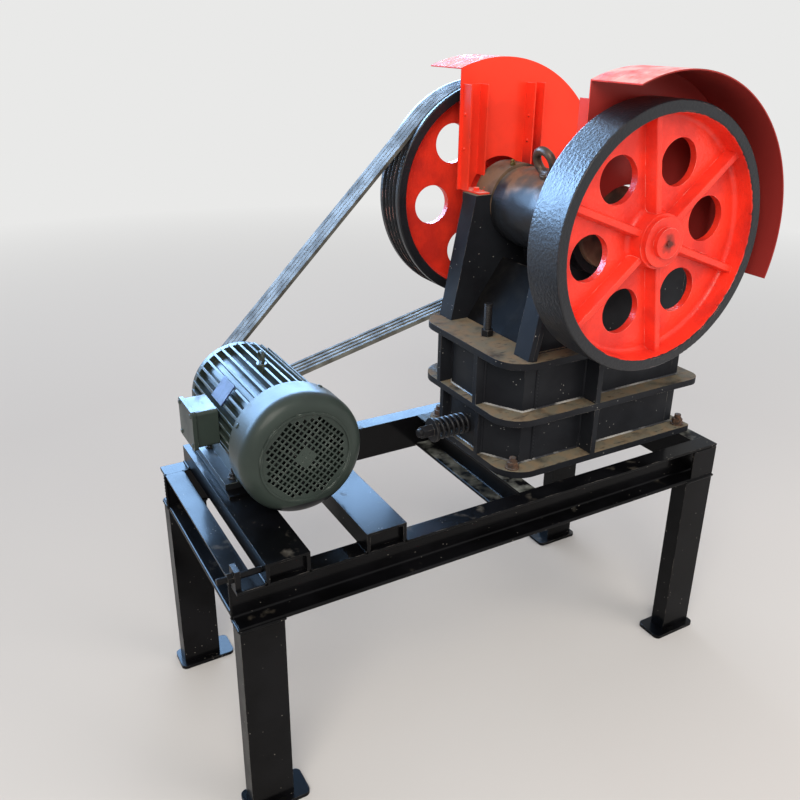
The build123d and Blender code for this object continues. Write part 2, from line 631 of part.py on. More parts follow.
def toothed_section(towards, crest_first):
    """Level section of a jaw plate: flat back on x = 0, and flat-topped V teeth towards +X or -X."""
    count = round(2 * FEED_HALF_WIDTH / TOOTH_PITCH)
    half_pitch = FEED_HALF_WIDTH / count
    points = [(0, -FEED_HALF_WIDTH)]
    for index in range(2 * count + 1):
        is_crest = (index % 2 == 0) == crest_first
        reach = JAW_PLATE if is_crest else JAW_PLATE - TOOTH_DEPTH
        middle = index * half_pitch - FEED_HALF_WIDTH
        for y in (middle - TOOTH_FLAT / 2, middle + TOOTH_FLAT / 2):
            points.append((towards * reach, min(max(y, -FEED_HALF_WIDTH), FEED_HALF_WIDTH)))
    points.append((0, FEED_HALF_WIDTH))
    return make_face(Polyline(*points, close=True))


def jaw_pieces():
    """Swinging jaw casting, its toothed plate, the fixed toothed plate and the cheek plates."""
    pieces = {"pitman": pitman()}
    bottom = DECK + JAW_BOTTOM_RISE
    top = DECK + JAW_TOP_RISE
    rise = top - bottom
    moving = Pos(JAW_BOTTOM_BACK_X, 0, bottom) * toothed_section(1, crest_first=True)
    slant = Vector(JAW_TOP_BACK_X - JAW_BOTTOM_BACK_X, 0, rise)
    pieces["moving_jaw_plate"] = Solid.extrude(moving.face(), slant)
    fixed = Pos(FRONT_WALL_X, 0, bottom) * toothed_section(-1, crest_first=False)
    pieces["fixed_jaw_plate"] = Solid.extrude(fixed.face(), Vector(0, 0, rise))
    cheek = side_plate((
        (JAW_TOP_BACK_X + JAW_PLATE, top), (FRONT_WALL_X, top), (FRONT_WALL_X, bottom),
        (JAW_BOTTOM_BACK_X, bottom)), CAVITY_HALF_WIDTH - CHEEK_PLATE, CAVITY_HALF_WIDTH)
    pieces["cheek_plates"] = both_sides(cheek)
    return pieces


def toggle_socket_x():
    """X of the back of the swinging jaw, where the toggle plate meets it."""
    return jaw_back_x(SEAT_RISE) - PITMAN_THICKNESS - SEAT_DEPTH


def pitman():
    """Swinging jaw casting: round head with stepped ends, ribbed back and the socket for the toggle."""
    seat_z = DECK + SEAT_RISE
    socket_x = toggle_socket_x()
    bottom_back = jaw_back_x(JAW_BOTTOM_RISE) - PITMAN_THICKNESS
    back = side_plate((
        (JAW_TOP_BACK_X, DECK + JAW_TOP_RISE), (JAW_BOTTOM_BACK_X, DECK + JAW_BOTTOM_RISE),
        (bottom_back, DECK + JAW_BOTTOM_RISE), (socket_x, seat_z - LUG_HEIGHT),
        (socket_x, seat_z + LUG_HEIGHT), (SHAFT_X - HEAD_RADIUS + PITMAN_THICKNESS, HEAD_Z),
        (SHAFT_X + HEAD_RADIUS - PITMAN_NECK, HEAD_Z)), -HEAD_HALF_WIDTH, HEAD_HALF_WIDTH)
    pocket_low = SEAT_RISE + LUG_HEIGHT + PITMAN_NECK
    pocket_high = JAW_TOP_RISE - PITMAN_NECK
    far_back = SHAFT_X - HEAD_RADIUS
    bay = HEAD_HALF_WIDTH - PITMAN_RIB - PITMAN_RIB / 2
    pocket = side_plate((
        (jaw_back_x(pocket_low) - PITMAN_SKIN, DECK + pocket_low),
        (jaw_back_x(pocket_high) - PITMAN_SKIN, DECK + pocket_high),
        (far_back, DECK + pocket_high), (far_back, DECK + pocket_low)), PITMAN_RIB / 2, PITMAN_RIB / 2 + bay)
    for side in both_sides(pocket):
        back -= side
    bore = JOURNAL_RADIUS + ECCENTRIC_STEP + FIT
    journal_hole = JOURNAL_RADIUS + ECCENTRICITY + OVERRUN
    stepped = HEAD_RADIUS - HEAD_STEP
    collar = HEAD_RADIUS - COLLAR_STEP
    collar_y = CAVITY_HALF_WIDTH - COLLAR_GAP
    step_y = HEAD_HALF_WIDTH - HEAD_STEP_LENGTH
    half_head = make_face(Polyline(
        (bore, 0), (HEAD_RADIUS, 0), (HEAD_RADIUS, step_y), (stepped, step_y + HEAD_STEP),
        (stepped, HEAD_HALF_WIDTH), (collar, HEAD_HALF_WIDTH), (collar, collar_y), (journal_hole, collar_y),
        (journal_hole, HEAD_HALF_WIDTH), (bore, HEAD_HALF_WIDTH), close=True))
    casting = back
    for half in both_sides(turned(half_head, SHAFT_X, HEAD_Z)):
        casting += half
    casting -= drum(bore, -collar_y, collar_y, z=HEAD_Z)
    lift = 2 * ECCENTRICITY + OVERRUN
    slot = block(socket_x - OVERRUN, socket_x + TOGGLE_GAP, -TOGGLE_HALF_WIDTH - OVERRUN,
                 TOGGLE_HALF_WIDTH + OVERRUN, seat_z - TOGGLE_THICKNESS / 2 - lift,
                 seat_z + TOGGLE_THICKNESS / 2 + OVERRUN)
    return casting - slot


def toggle_pieces():
    """Toggle plate, wedge, adjusting stud, tension rod and its spring."""
    pieces = {}
    seat_z = DECK + SEAT_RISE
    inner_x = BODY_X + WALL
    wedge_x = inner_x + WEDGE_DEPTH
    wedge_top = seat_z + WEDGE_OVER_SEAT + WEDGE_HEIGHT / 2
    wedge_bottom = wedge_top - WEDGE_HEIGHT
    flat = REAR_FLAT_SHARE * BODY_HALF_WIDTH
    turn = atan2(REAR_CORNER_RUN, BODY_HALF_WIDTH - flat)
    wedge_y = flat - WALL * tan(turn / 2) - WEDGE_SIDE_GAP
    pieces["toggle_wedge"] = side_plate((
        (inner_x, wedge_bottom), (wedge_x - WEDGE_LEAN, wedge_bottom), (wedge_x + WEDGE_LEAN, wedge_top),
        (inner_x, wedge_top)), -wedge_y, wedge_y)
    seat_face = wedge_x + WEDGE_SEAT_DEPTH
    pieces["toggle_seat"] = side_plate((
        (wedge_x - WEDGE_LEAN, wedge_bottom), (seat_face, wedge_bottom), (seat_face, wedge_top),
        (wedge_x + WEDGE_LEAN, wedge_top)), -TOGGLE_HALF_WIDTH, TOGGLE_HALF_WIDTH)
    socket_x = toggle_socket_x()
    pieces["toggle_plate"] = block(seat_face, socket_x, -TOGGLE_HALF_WIDTH, TOGGLE_HALF_WIDTH,
                                   seat_z - TOGGLE_THICKNESS / 2, seat_z + TOGGLE_THICKNESS / 2)
    stud = upright(STUD_RADIUS, STUD_X, 0, wedge_top, TOP_TOP + STUD_PROUD)
    nut = Pos(STUD_X, 0, TOP_TOP) * extrude(RegularPolygon(STUD_NUT_RADIUS, 6), STUD_NUT_HEIGHT)
    pieces["adjusting_stud"] = stud + nut
    rod_z = DECK + ROD_RISE
    washer_x = BODY_X - SPRING_SEAT
    rod = along_x(ROD_RADIUS, BODY_X - ROD_REACH, socket_x - TOGGLE_GAP, 0, rod_z)
    rod += along_x(WASHER_RADIUS, washer_x - WASHER_THICKNESS, washer_x, 0, rod_z)
    nut_bar = Rot(0, 90, 0) * extrude(RegularPolygon(ROD_NUT_RADIUS, 6), ROD_NUT_LENGTH)
    for index in range(ROD_NUT_COUNT):
        rod += Pos(washer_x - WASHER_THICKNESS - (index + 1) * ROD_NUT_LENGTH, 0, rod_z) * nut_bar
    pieces["tension_rod"] = rod
    coil_length = SPRING_SEAT - 2 * SPRING_WIRE
    path = Helix(coil_length / SPRING_TURNS, coil_length, SPRING_RADIUS)
    profile = Plane(origin=path @ 0, z_dir=path % 0) * Circle(SPRING_WIRE)
    coil = sweep(profile, path=path)
    pieces["tension_spring"] = Pos(washer_x + SPRING_WIRE, 0, rod_z) * Rot(0, 90, 0) * coil
    return pieces


def eye_piece():
    """Lifting eye screwed into the jaw head, a little behind its top."""
    stem = Pos(0, 0, HEAD_RADIUS - OVERRUN) * bar(EYE_COLLAR_RADIUS, EYE_COLLAR_HEIGHT + OVERRUN)
    ring = Pos(0, 0, EYE_RISE) * Rot(0, 90, 0) * Torus(EYE_RADIUS, EYE_WIRE)
    eye = (stem + ring) - drum(HEAD_RADIUS, -HEAD_HALF_WIDTH, HEAD_HALF_WIDTH, 0, 0)
    return Pos(SHAFT_X, EYE_OFFSET, HEAD_Z) * Rot(0, -EYE_TILT, 0) * eye


def cover_shell():
    """Sheet cover of the +Y side: a flat plate with a cut-out for the bearing, and a band over the wheel."""
    left_x = SHAFT_X - COVER_LEFT_REACH
    low_y = COVER_PLATE_Y - OVERRUN
    high_y = COVER_EDGE_Y + OVERRUN
    plate = drum(COVER_RADIUS, COVER_PLATE_Y, COVER_PLATE_Y + COVER_SHEET)
    band = drum(COVER_RADIUS, COVER_PLATE_Y, COVER_EDGE_Y) - drum(COVER_RADIUS - COVER_SHEET, low_y, high_y)
    reach = 2 * COVER_RADIUS
    end_x = SHAFT_X + reach * cos(radians(COVER_END_ANGLE))
    end_z = SHAFT_Z + reach * sin(radians(COVER_END_ANGLE))
    kept = side_plate((
        (left_x, SHOULDER_TOP), (SHAFT_X, SHOULDER_TOP), (SHAFT_X, SHAFT_Z), (end_x, end_z),
        (end_x, SHAFT_Z + reach), (left_x, SHAFT_Z + reach)), low_y, high_y)
    return ((plate + band) & kept) - drum(HOUSING_RADIUS + COVER_CUT_CLEARANCE, low_y, high_y)


def cover_post(place, width):
    """Folded sheet post of the +Y cover, with its foot sheet on the shoulder of the pedestal."""
    x0 = SHAFT_X + place
    x1 = x0 + width
    post_top = SHOULDER_TOP + POST_HEIGHT
    post = block(x0, x1, STRIP_OUT, COVER_PLATE_Y, SHOULDER_TOP, post_top)
    post -= block(x0 + POST_SHEET, x1 - POST_SHEET, STRIP_OUT - OVERRUN, COVER_PLATE_Y - POST_SHEET,
                  SHOULDER_TOP + POST_SHEET, post_top + OVERRUN)
    post += block(x0, x1, CAVITY_HALF_WIDTH + POST_FOOT_INSET, COVER_PLATE_Y, SHOULDER_TOP,
                  SHOULDER_TOP + POST_SHEET)
    return post - drum(HOUSING_RADIUS, CAVITY_HALF_WIDTH, COVER_PLATE_Y + OVERRUN)


def cover_pieces():
    """Covers over both wheels, and the folded posts that hold them on the pedestals."""
    shell = cover_shell()
    posts = []
    for place, width in ((POST_REAR_PLACE, POST_REAR_WIDTH), (POST_FRONT_PLACE, POST_FRONT_WIDTH)):
        posts.extend(both_sides(cover_post(place, width)))
    return {"belt_cover": shell, "flywheel_cover": mirror(shell, Plane.XZ), "cover_posts": posts}


def motor_body():
    """Cast motor body: finned barrel, feet with their gussets, end shield and a boss with the lifting eye."""
    shield_start = MOTOR_DRIVE_END - MOTOR_SHIELD
    section = Circle(MOTOR_CORE_RADIUS)
    root = MOTOR_CORE_RADIUS - OVERRUN
    fin = Pos((MOTOR_FIN_RADIUS + root) / 2, 0) * Rectangle(MOTOR_FIN_RADIUS - root, MOTOR_FIN)
    for index in range(MOTOR_FIN_COUNT):
        section += Rot(0, 0, 360 / MOTOR_FIN_COUNT * index) * fin
    barrel = extrude(section, shield_start - MOTOR_BODY_START)
    body = Pos(MOTOR_X, MOTOR_BODY_START, MOTOR_Z) * Rot(-90, 0, 0) * barrel
    foot_top = MOTOR_DECK + MOTOR_FOOT_THICKNESS
    foot_y0 = motor_foot_y() - MOTOR_FOOT_LENGTH / 2
    foot_y1 = foot_y0 + MOTOR_FOOT_LENGTH
    half_foot = MOTOR_FOOT_WIDTH / 2
    for side in SIDES:
        x = MOTOR_X + side * MOTOR_FOOT_SPREAD / 2
        body += block(x - half_foot, x + half_foot, foot_y0, foot_y1, MOTOR_DECK, foot_top)
        body += side_plate((
            (x, foot_top - OVERRUN), (x - side * half_foot, foot_top - OVERRUN),
            (MOTOR_X + side * FAN_HUB_RADIUS, MOTOR_Z), (MOTOR_X + side * MOTOR_CORE_RADIUS, MOTOR_Z)),
            foot_y0, foot_y1)
    shield = make_face(Polyline(
        (0, shield_start), (MOTOR_FIN_RADIUS - MOTOR_SHIELD_INSET, shield_start),
        (MOTOR_FIN_RADIUS - MOTOR_SHIELD_INSET, MOTOR_DRIVE_END - MOTOR_SHIELD_SLOPE),
        (MOTOR_SHIELD_NOSE, MOTOR_DRIVE_END), (0, MOTOR_DRIVE_END), close=True))
    body += turned(shield, MOTOR_X, MOTOR_Z)
    body += drum(FAN_COVER_RADIUS - FAN_COVER_SHEET - FIT, MOTOR_BODY_START - FAN_COVER_SEAT,
                 MOTOR_BODY_START + FAN_COVER_SEAT, MOTOR_X, MOTOR_Z)
    eye_y = MOTOR_DRIVE_END - MOTOR_EYE_SETBACK
    boss_top = MOTOR_Z + MOTOR_FIN_RADIUS + MOTOR_EYE_BOSS_RISE
    body += upright(MOTOR_EYE_BOSS, MOTOR_X, eye_y, MOTOR_Z + MOTOR_CORE_RADIUS - OVERRUN, boss_top)
    ring = Rot(0, 90, 0) * Torus(MOTOR_EYE_RADIUS, MOTOR_EYE_WIRE)
    body += Pos(MOTOR_X, eye_y, boss_top + MOTOR_EYE_RADIUS) * ring
    return body - drum(MOTOR_SHAFT_RADIUS + FIT, MOTOR_BODY_START - 2 * FAN_COVER_SEAT,
                       MOTOR_DRIVE_END + OVERRUN, MOTOR_X, MOTOR_Z)


def motor_foot_y():
    """Y of the middle of the motor's feet."""
    return MOTOR_DRIVE_END - MOTOR_FOOT_SETBACK - MOTOR_FOOT_SPACING / 2


def terminal_box():
    """Terminal box on the motor's -X side, with a lid that stands out a little all round."""
    box_x = MOTOR_X - MOTOR_FIN_RADIUS
    box_y = MOTOR_DRIVE_END - BOX_SETBACK
    box_z = MOTOR_Z + BOX_RISE
    half_y = BOX_LENGTH / 2 - BOX_LID_EDGE
    half_z = BOX_HEIGHT / 2 - BOX_LID_EDGE
    body = block(box_x - BOX_DEPTH, box_x, box_y - half_y, box_y + half_y, box_z - half_z, box_z + half_z)
    lid = block(box_x - BOX_DEPTH, box_x - BOX_DEPTH + BOX_LID, box_y - BOX_LENGTH / 2,
                box_y + BOX_LENGTH / 2, box_z - BOX_HEIGHT / 2, box_z + BOX_HEIGHT / 2)
    body, lid = [fillet(each.edges().filter_by(Axis.X), BOX_CORNER) for each in (body, lid)]
    return body + lid


def fan_cover():
    """Pressed fan cover: a cup with a round shoulder, a raised lip and a square-hole grille in its face."""
    face_y = MOTOR_FAN_END + LIP_PROUD
    inner_y = face_y + FAN_COVER_SHEET
    inner_radius = FAN_COVER_RADIUS - FAN_COVER_SHEET
    cup = make_face(Polyline(
        (0, face_y), (FAN_COVER_RADIUS, face_y), (FAN_COVER_RADIUS, MOTOR_BODY_START), (0, MOTOR_BODY_START),
        close=True))
    cup = fillet([v for v in cup.vertices() if v.X > FIT and v.Y < inner_y], FAN_COVER_ROUND)
    hollow = make_face(Polyline(
        (-OVERRUN, inner_y), (inner_radius, inner_y), (inner_radius, MOTOR_BODY_START + OVERRUN),
        (-OVERRUN, MOTOR_BODY_START + OVERRUN), close=True))
    hollow = fillet([v for v in hollow.vertices() if v.X > FIT and v.Y < inner_y + FIT],
                    FAN_COVER_ROUND - FAN_COVER_SHEET)
    lip = make_face(Polyline(
        (LIP_INNER, MOTOR_FAN_END), (LIP_OUTER, MOTOR_FAN_END), (LIP_OUTER, inner_y), (LIP_INNER, inner_y),
        close=True))
    shell = turned(cup - hollow + lip, MOTOR_X, MOTOR_Z)
    punch = extrude(Rot(0, 0, GRILLE_TURN) * grille_holes(), 2 * OVERRUN + FAN_COVER_SHEET)
    return shell - Pos(MOTOR_X, face_y - OVERRUN, MOTOR_Z) * Rot(-90, 0, 0) * punch


def grille_holes():
    """Square holes in a round field, with a blank middle that has five small holes."""
    count = int(GRILLE_RADIUS / GRILLE_PITCH)
    steps = range(-count, count + 1)
    holes = Sketch()
    for i in steps:
        for j in steps:
            spot = Pos(i * GRILLE_PITCH, j * GRILLE_PITCH)
            if max(abs(i), abs(j)) <= 1:
                if i * j == 0:
                    holes += spot * Rectangle(GRILLE_SMALL_HOLE, GRILLE_SMALL_HOLE)
            elif hypot(i, j) * GRILLE_PITCH < GRILLE_RADIUS - GRILLE_HOLE / 2:
                holes += spot * Rectangle(GRILLE_HOLE, GRILLE_HOLE)
    return holes


def motor_pieces():
    """Fan-cooled motor with its fan, shaft, pulley, terminal box and mounting rails."""
    pieces = {"motor_body": motor_body(), "fan_cover": fan_cover(), "terminal_box": terminal_box()}
    shaft_end = MOTOR_DRIVE_END + MOTOR_SHAFT_END
    pieces["motor_shaft"] = drum(MOTOR_SHAFT_RADIUS, FAN_START, shaft_end, MOTOR_X, MOTOR_Z)
    fan = drum(FAN_HUB_RADIUS, FAN_START, FAN_START + FAN_DEPTH, MOTOR_X, MOTOR_Z)
    reach = FAN_COVER_RADIUS - FAN_TIP_GAP
    blade = Pos(reach / 2, 0, 0) * Box(reach, FAN_DEPTH, FAN_BLADE)
    for index in range(FAN_BLADES):
        fan += Pos(MOTOR_X, FAN_START + FAN_DEPTH / 2, MOTOR_Z) * Rot(0, 360 / FAN_BLADES * index, 0) * blade
    fan -= drum(MOTOR_SHAFT_RADIUS, FAN_START - OVERRUN, MOTOR_BODY_START, MOTOR_X, MOTOR_Z)
    pieces["motor_fan"] = fan
    pulley_y = BELT_Y - PULLEY_WIDTH / 2
    rim = make_face(Polyline(
        (MOTOR_SHAFT_RADIUS, pulley_y), (PULLEY_RADIUS, pulley_y), (PULLEY_RADIUS, pulley_y + PULLEY_WIDTH),
        (MOTOR_SHAFT_RADIUS, pulley_y + PULLEY_WIDTH), close=True))
    pieces["motor_pulley"] = turned(rim - groove_section(PULLEY_RADIUS, BELT_Y), MOTOR_X, MOTOR_Z)
    pieces["motor_rails"] = [
        block(centre - RAIL_WIDTH / 2, centre + RAIL_WIDTH / 2, motor_foot_y() - RAIL_LENGTH / 2,
              motor_foot_y() + RAIL_LENGTH / 2, STAND_HEIGHT + CHANNEL_WIDTH, MOTOR_DECK)
        for centre in MOTOR_BEAM_CENTRES]
    return pieces


def belt_pieces():
    """Four V belts, each one closed loop round the motor pulley and the grooved wheel."""
    run_z = SHAFT_Z - MOTOR_Z
    span = hypot(SHAFT_X - MOTOR_X, run_z)
    tilt = degrees(asin(run_z / span))
    wheel_seat = WHEEL_RADIUS + BELT_PROUD
    pulley_seat = PULLEY_RADIUS + BELT_PROUD
    lean = asin((wheel_seat - pulley_seat) / span)
    small = (-pulley_seat * sin(lean), pulley_seat * cos(lean))
    large = (span - wheel_seat * sin(lean), wheel_seat * cos(lean))
    small_low = (small[0], -small[1])
    large_low = (large[0], -large[1])
    path = Wire([
        Line(small, large), ThreePointArc(large, (span + wheel_seat, 0), large_low),
        Line(large_low, small_low), ThreePointArc(small_low, (-pulley_seat, 0), small)])
    start = Plane(origin=(small[0], small[1], 0), x_dir=(0, 0, 1), z_dir=(cos(lean), sin(lean), 0))
    half = BELT_TOP / 2
    half_inner = half - BELT_DEPTH * tan(radians(BELT_ANGLE))
    section = start * make_face(Polyline(
        (-half, 0), (half, 0), (half_inner, BELT_DEPTH), (-half_inner, BELT_DEPTH), close=True))
    belts = []
    for index in range(BELT_COUNT):
        y = BELT_Y + (index - (BELT_COUNT - 1) / 2) * BELT_PITCH
        belts.append(Pos(MOTOR_X, y, MOTOR_Z) * Rot(0, -tilt, 0) * Rot(90, 0, 0) * sweep(section, path=path))
    return {"drive_belts": belts}


def small_pieces():
    """Belt adjusting screw at the stand corner, and the bolts that hold the crusher down."""
    end_x = -STAND_LENGTH / 2
    y = -STAND_WIDTH / 2 + CHANNEL_WIDTH / 2
    z = STAND_HEIGHT + CHANNEL_WIDTH / 2
    half_lug = ADJUSTER_LUG_WIDTH / 2
    lug = block(end_x, end_x + ADJUSTER_LUG, y - half_lug, y + half_lug, STAND_HEIGHT,
                STAND_HEIGHT + ADJUSTER_LUG_HEIGHT)
    screw = along_x(ADJUSTER_RADIUS, end_x - ADJUSTER_PROUD, MOTOR_BEAM_X - CHANNEL_HEIGHT / 2, y, z)
    nut_bar = Rot(0, 90, 0) * extrude(RegularPolygon(ADJUSTER_NUT_RADIUS, 6), ADJUSTER_LUG)
    pieces = {"belt_adjusting_screw": lug + screw + Pos(end_x - ADJUSTER_LUG, y, z) * nut_bar}
    spots = (
        (BODY_X - BASE_REAR_REACH + ANCHOR_REAR_INSET, FLANGE_HALF_WIDTH - ANCHOR_REAR_INSET),
        (BODY_FRONT_X + BASE_FRONT_REACH - ANCHOR_FRONT_INSET, FLANGE_HALF_WIDTH - ANCHOR_FRONT_INSET))
    bolts = []
    for x, reach in spots:
        for side in SIDES:
            foot = Pos(x, CRUSHER_Y + side * reach, BASE_TOP)
            bolt = bar(ANCHOR_WASHER_RADIUS, ANCHOR_WASHER_THICKNESS) + bar(ANCHOR_RADIUS, ANCHOR_PROUD)
            nut = extrude(RegularPolygon(ANCHOR_NUT_RADIUS, 6), ANCHOR_WASHER_THICKNESS + ANCHOR_NUT_HEIGHT)
            bolts.append(foot * (bolt + nut))
    pieces["anchor_bolts"] = bolts
    return pieces


def shifted(piece, place):
    """The piece, or each solid of it, moved to a place."""
    return [place * each for each in piece] if isinstance(piece, list) else place * piece


def joined(piece):
    """One shape of a piece, or of its separate solids."""
    solids = [solid for each in (piece if isinstance(piece, list) else [piece]) for solid in each.solids()]
    return Compound(solids) if len(solids) > 1 else solids[0]


def main():
    crusher = {}
    for group in (body_pieces, bearing_pieces, wheel_pieces, jaw_pieces, toggle_pieces, cover_pieces):
        crusher.update(group())
    crusher["lifting_eye"] = eye_piece()
    parts = {name: shifted(piece, Pos(0, CRUSHER_Y, 0)) for name, piece in crusher.items()}
    for group in (stand_pieces, motor_pieces, belt_pieces, small_pieces):
        parts.update(group())
    solids = {name: joined(piece) for name, piece in parts.items()}
    box = Compound([solid for each in solids.values() for solid in each.solids()]).bounding_box()
    home = Pos(-box.center().X, -box.center().Y, 0)
    os.makedirs("parts", exist_ok=True)
    for name, solid in solids.items():
        export_step(home * solid, f"parts/{name}.step")
    print("whole machine", [round(v, 1) for v in (box.size.X, box.size.Y, box.max.Z)])
    print("moved by", round(-box.center().X, 2), round(-box.center().Y, 2))
    shaft = (SHAFT_X - box.center().X, CRUSHER_Y - box.center().Y, SHAFT_Z)
    print("shaft centre", [round(v, 2) for v in shaft])
    print("motor centre", round(MOTOR_X - box.center().X, 2), round(MOTOR_Z, 2))


main()
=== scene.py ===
from math import ceil, cos, pi, radians, sin

import bpy
from mathutils import Matrix, Vector


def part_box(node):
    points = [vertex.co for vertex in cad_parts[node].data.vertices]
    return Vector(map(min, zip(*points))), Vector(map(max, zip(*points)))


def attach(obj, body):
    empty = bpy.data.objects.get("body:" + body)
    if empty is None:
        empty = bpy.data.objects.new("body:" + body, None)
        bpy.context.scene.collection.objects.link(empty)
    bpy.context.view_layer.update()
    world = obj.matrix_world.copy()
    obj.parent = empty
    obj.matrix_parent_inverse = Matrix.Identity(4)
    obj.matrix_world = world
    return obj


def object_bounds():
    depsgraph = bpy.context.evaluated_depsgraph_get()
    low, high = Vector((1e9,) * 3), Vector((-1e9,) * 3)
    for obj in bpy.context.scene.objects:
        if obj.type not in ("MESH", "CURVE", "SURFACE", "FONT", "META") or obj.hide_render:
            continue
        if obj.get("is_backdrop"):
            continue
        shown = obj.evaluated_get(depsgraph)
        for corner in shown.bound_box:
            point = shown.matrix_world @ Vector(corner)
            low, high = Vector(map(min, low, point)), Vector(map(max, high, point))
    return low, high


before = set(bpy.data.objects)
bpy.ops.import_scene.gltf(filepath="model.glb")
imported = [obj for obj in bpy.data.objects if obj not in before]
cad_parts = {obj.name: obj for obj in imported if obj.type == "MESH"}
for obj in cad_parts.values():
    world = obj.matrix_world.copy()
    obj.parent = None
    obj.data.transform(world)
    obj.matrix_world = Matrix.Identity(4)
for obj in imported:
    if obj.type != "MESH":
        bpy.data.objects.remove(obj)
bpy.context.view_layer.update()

# Studio: a plain pale floor that runs into a pale backdrop, a soft white sky for light, and large soft lamps. A
# wide blue panel behind the object shows only in its gloss, as a clear sky there would. The camera looks from
# the photo's place.
CAMERA_PLACE = (-1.0967, -1.6939, 1.6966)
CAMERA_YAW = radians(29.75)
CAMERA_PITCH = radians(22.63)
CAMERA_ROLL = radians(-0.72)
CAMERA_LENS_MM = 37.68
CAMERA_SHIFT = (-0.0022, -0.0347)
FLOOR_HALF = 60.0
FLOOR_COLOUR = "#CBC8C4"
FLOOR_FADE = (2.2, 6.5)
BACKDROP_COLOUR = "#E9E9E8"
HORIZON_COLOUR = "#E6E2DC"
HORIZON_STRENGTH = 0.25
ZENITH_COLOUR = "#F2F6FF"
ZENITH_STRENGTH = 0.95
ZENITH_RISE = 0.8
# Name, place, size, power in watts, colour, shown in gloss, lights surfaces.
LAMPS = (
    ("key_lamp", (-2.2, -3.0, 3.8), (2.8, 2.8), 150, "#FFF8EE", True, True),
    ("fill_lamp", (2.6, -3.4, 2.0), (2.4, 2.4), 75, "#FFF6EE", False, True),
    ("rim_lamp", (0.6, 3.4, 3.8), (2.2, 2.2), 40, "#E8F0FF", False, True),
    ("blue_panel", (-1.25, 5.2, 3.5), (12.6, 2.8), 3200, "#9DCBFF", True, False),
)
LAMP_AIM = Vector((0, 0, 0.8))


def paint(code):
    """Linear colour of an sRGB hex value."""
    shares = [int(code[i:i + 2], 16) / 255 for i in (1, 3, 5)]
    return tuple(s / 12.92 if s <= 0.04045 else ((s + 0.055) / 1.055) ** 2.4 for s in shares) + (1.0,)


def add(tree, kind, sockets=None, **settings):
    """One node with its settings made and its sockets filled by values or by links."""
    made = tree.nodes.new("ShaderNode" + kind)
    for name, value in settings.items():
        setattr(made, name, value)
    for name, value in (sockets or {}).items():
        if isinstance(value, bpy.types.NodeSocket):
            tree.links.new(value, made.inputs[name])
        else:
            made.inputs[name].default_value = value
    return made


def blank(name):
    """An empty material tree with its output node."""
    material = bpy.data.materials.new(name)
    material.use_nodes = True
    material.node_tree.nodes.clear()
    return material, material.node_tree, add(material.node_tree, "OutputMaterial")


def linked(name, data):
    """A new object in the scene."""
    thing = bpy.data.objects.new(name, data)
    bpy.context.scene.collection.objects.link(thing)
    return thing


forward = Vector((sin(CAMERA_YAW) * cos(CAMERA_PITCH), cos(CAMERA_YAW) * cos(CAMERA_PITCH), -sin(CAMERA_PITCH)))
right = Vector((cos(CAMERA_YAW), -sin(CAMERA_YAW), 0))
down = forward.cross(right)
across = right * cos(CAMERA_ROLL) + down * sin(CAMERA_ROLL)
lower = down * cos(CAMERA_ROLL) - right * sin(CAMERA_ROLL)
camera = linked("camera", bpy.data.cameras.new("camera"))
camera.matrix_world = Matrix.Translation(CAMERA_PLACE) @ Matrix((across, -lower, -forward)).transposed().to_4x4()
camera.data.lens = CAMERA_LENS_MM
camera.data.shift_x, camera.data.shift_y = CAMERA_SHIFT
bpy.context.scene.camera = camera

floor_mesh = bpy.data.meshes.new("studio_floor")
floor_mesh.from_pydata([(x, y, 0) for x, y in ((-1, -1), (1, -1), (1, 1), (-1, 1))], [], [(0, 1, 2, 3)])
floor_mesh.transform(Matrix.Scale(FLOOR_HALF, 4))
studio_floor = linked("studio_floor", floor_mesh)
floor_material, tree, output = blank("studio_floor")
pale = add(tree, "BsdfDiffuse", {"Color": paint(FLOOR_COLOUR)}).outputs[0]
reach = add(tree, "VectorMath", {0: add(tree, "TexCoord").outputs["Object"]}, operation="LENGTH").outputs["Value"]
far = add(tree, "MapRange", {"Value": reach, "From Min": FLOOR_FADE[0], "From Max": FLOOR_FADE[1]}).outputs[0]
plain = add(tree, "Emission", {"Color": paint(BACKDROP_COLOUR)}).outputs[0]
tree.links.new(add(tree, "MixShader", {0: far, 1: pale, 2: plain}).outputs[0], output.inputs[0])
floor_mesh.materials.append(floor_material)
studio_floor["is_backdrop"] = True

world = bpy.data.worlds.new("surround")
bpy.context.scene.world = world
world.use_nodes = True
tree = world.node_tree
tree.nodes.clear()
direction = add(tree, "SeparateXYZ", {0: add(tree, "TexCoord").outputs["Generated"]})
height = add(tree, "MapRange", {"Value": direction.outputs[2], "From Max": ZENITH_RISE}).outputs[0]
sky = add(tree, "Mix", {0: height, 6: paint(HORIZON_COLOUR), 7: paint(ZENITH_COLOUR)}, data_type="RGBA").outputs[2]
power = add(tree, "MapRange", {"Value": height, "To Min": HORIZON_STRENGTH, "To Max": ZENITH_STRENGTH}).outputs[0]
lit = add(tree, "Background", {"Color": sky, "Strength": power}).outputs[0]
plain = add(tree, "Background", {"Color": paint(BACKDROP_COLOUR)}).outputs[0]
rays = add(tree, "LightPath")
seen = add(tree, "Math", {0: rays.outputs["Is Camera Ray"], 1: rays.outputs["Is Glossy Ray"]}, operation="ADD")
seen = add(tree, "Math", {0: seen.outputs[0], 1: rays.outputs["Is Transmission Ray"]}, operation="ADD",
           use_clamp=True).outputs[0]
add(tree, "OutputWorld", {"Surface": add(tree, "MixShader", {0: seen, 1: lit, 2: plain}).outputs[0]})
bpy.context.scene.view_settings.view_transform = "Standard"
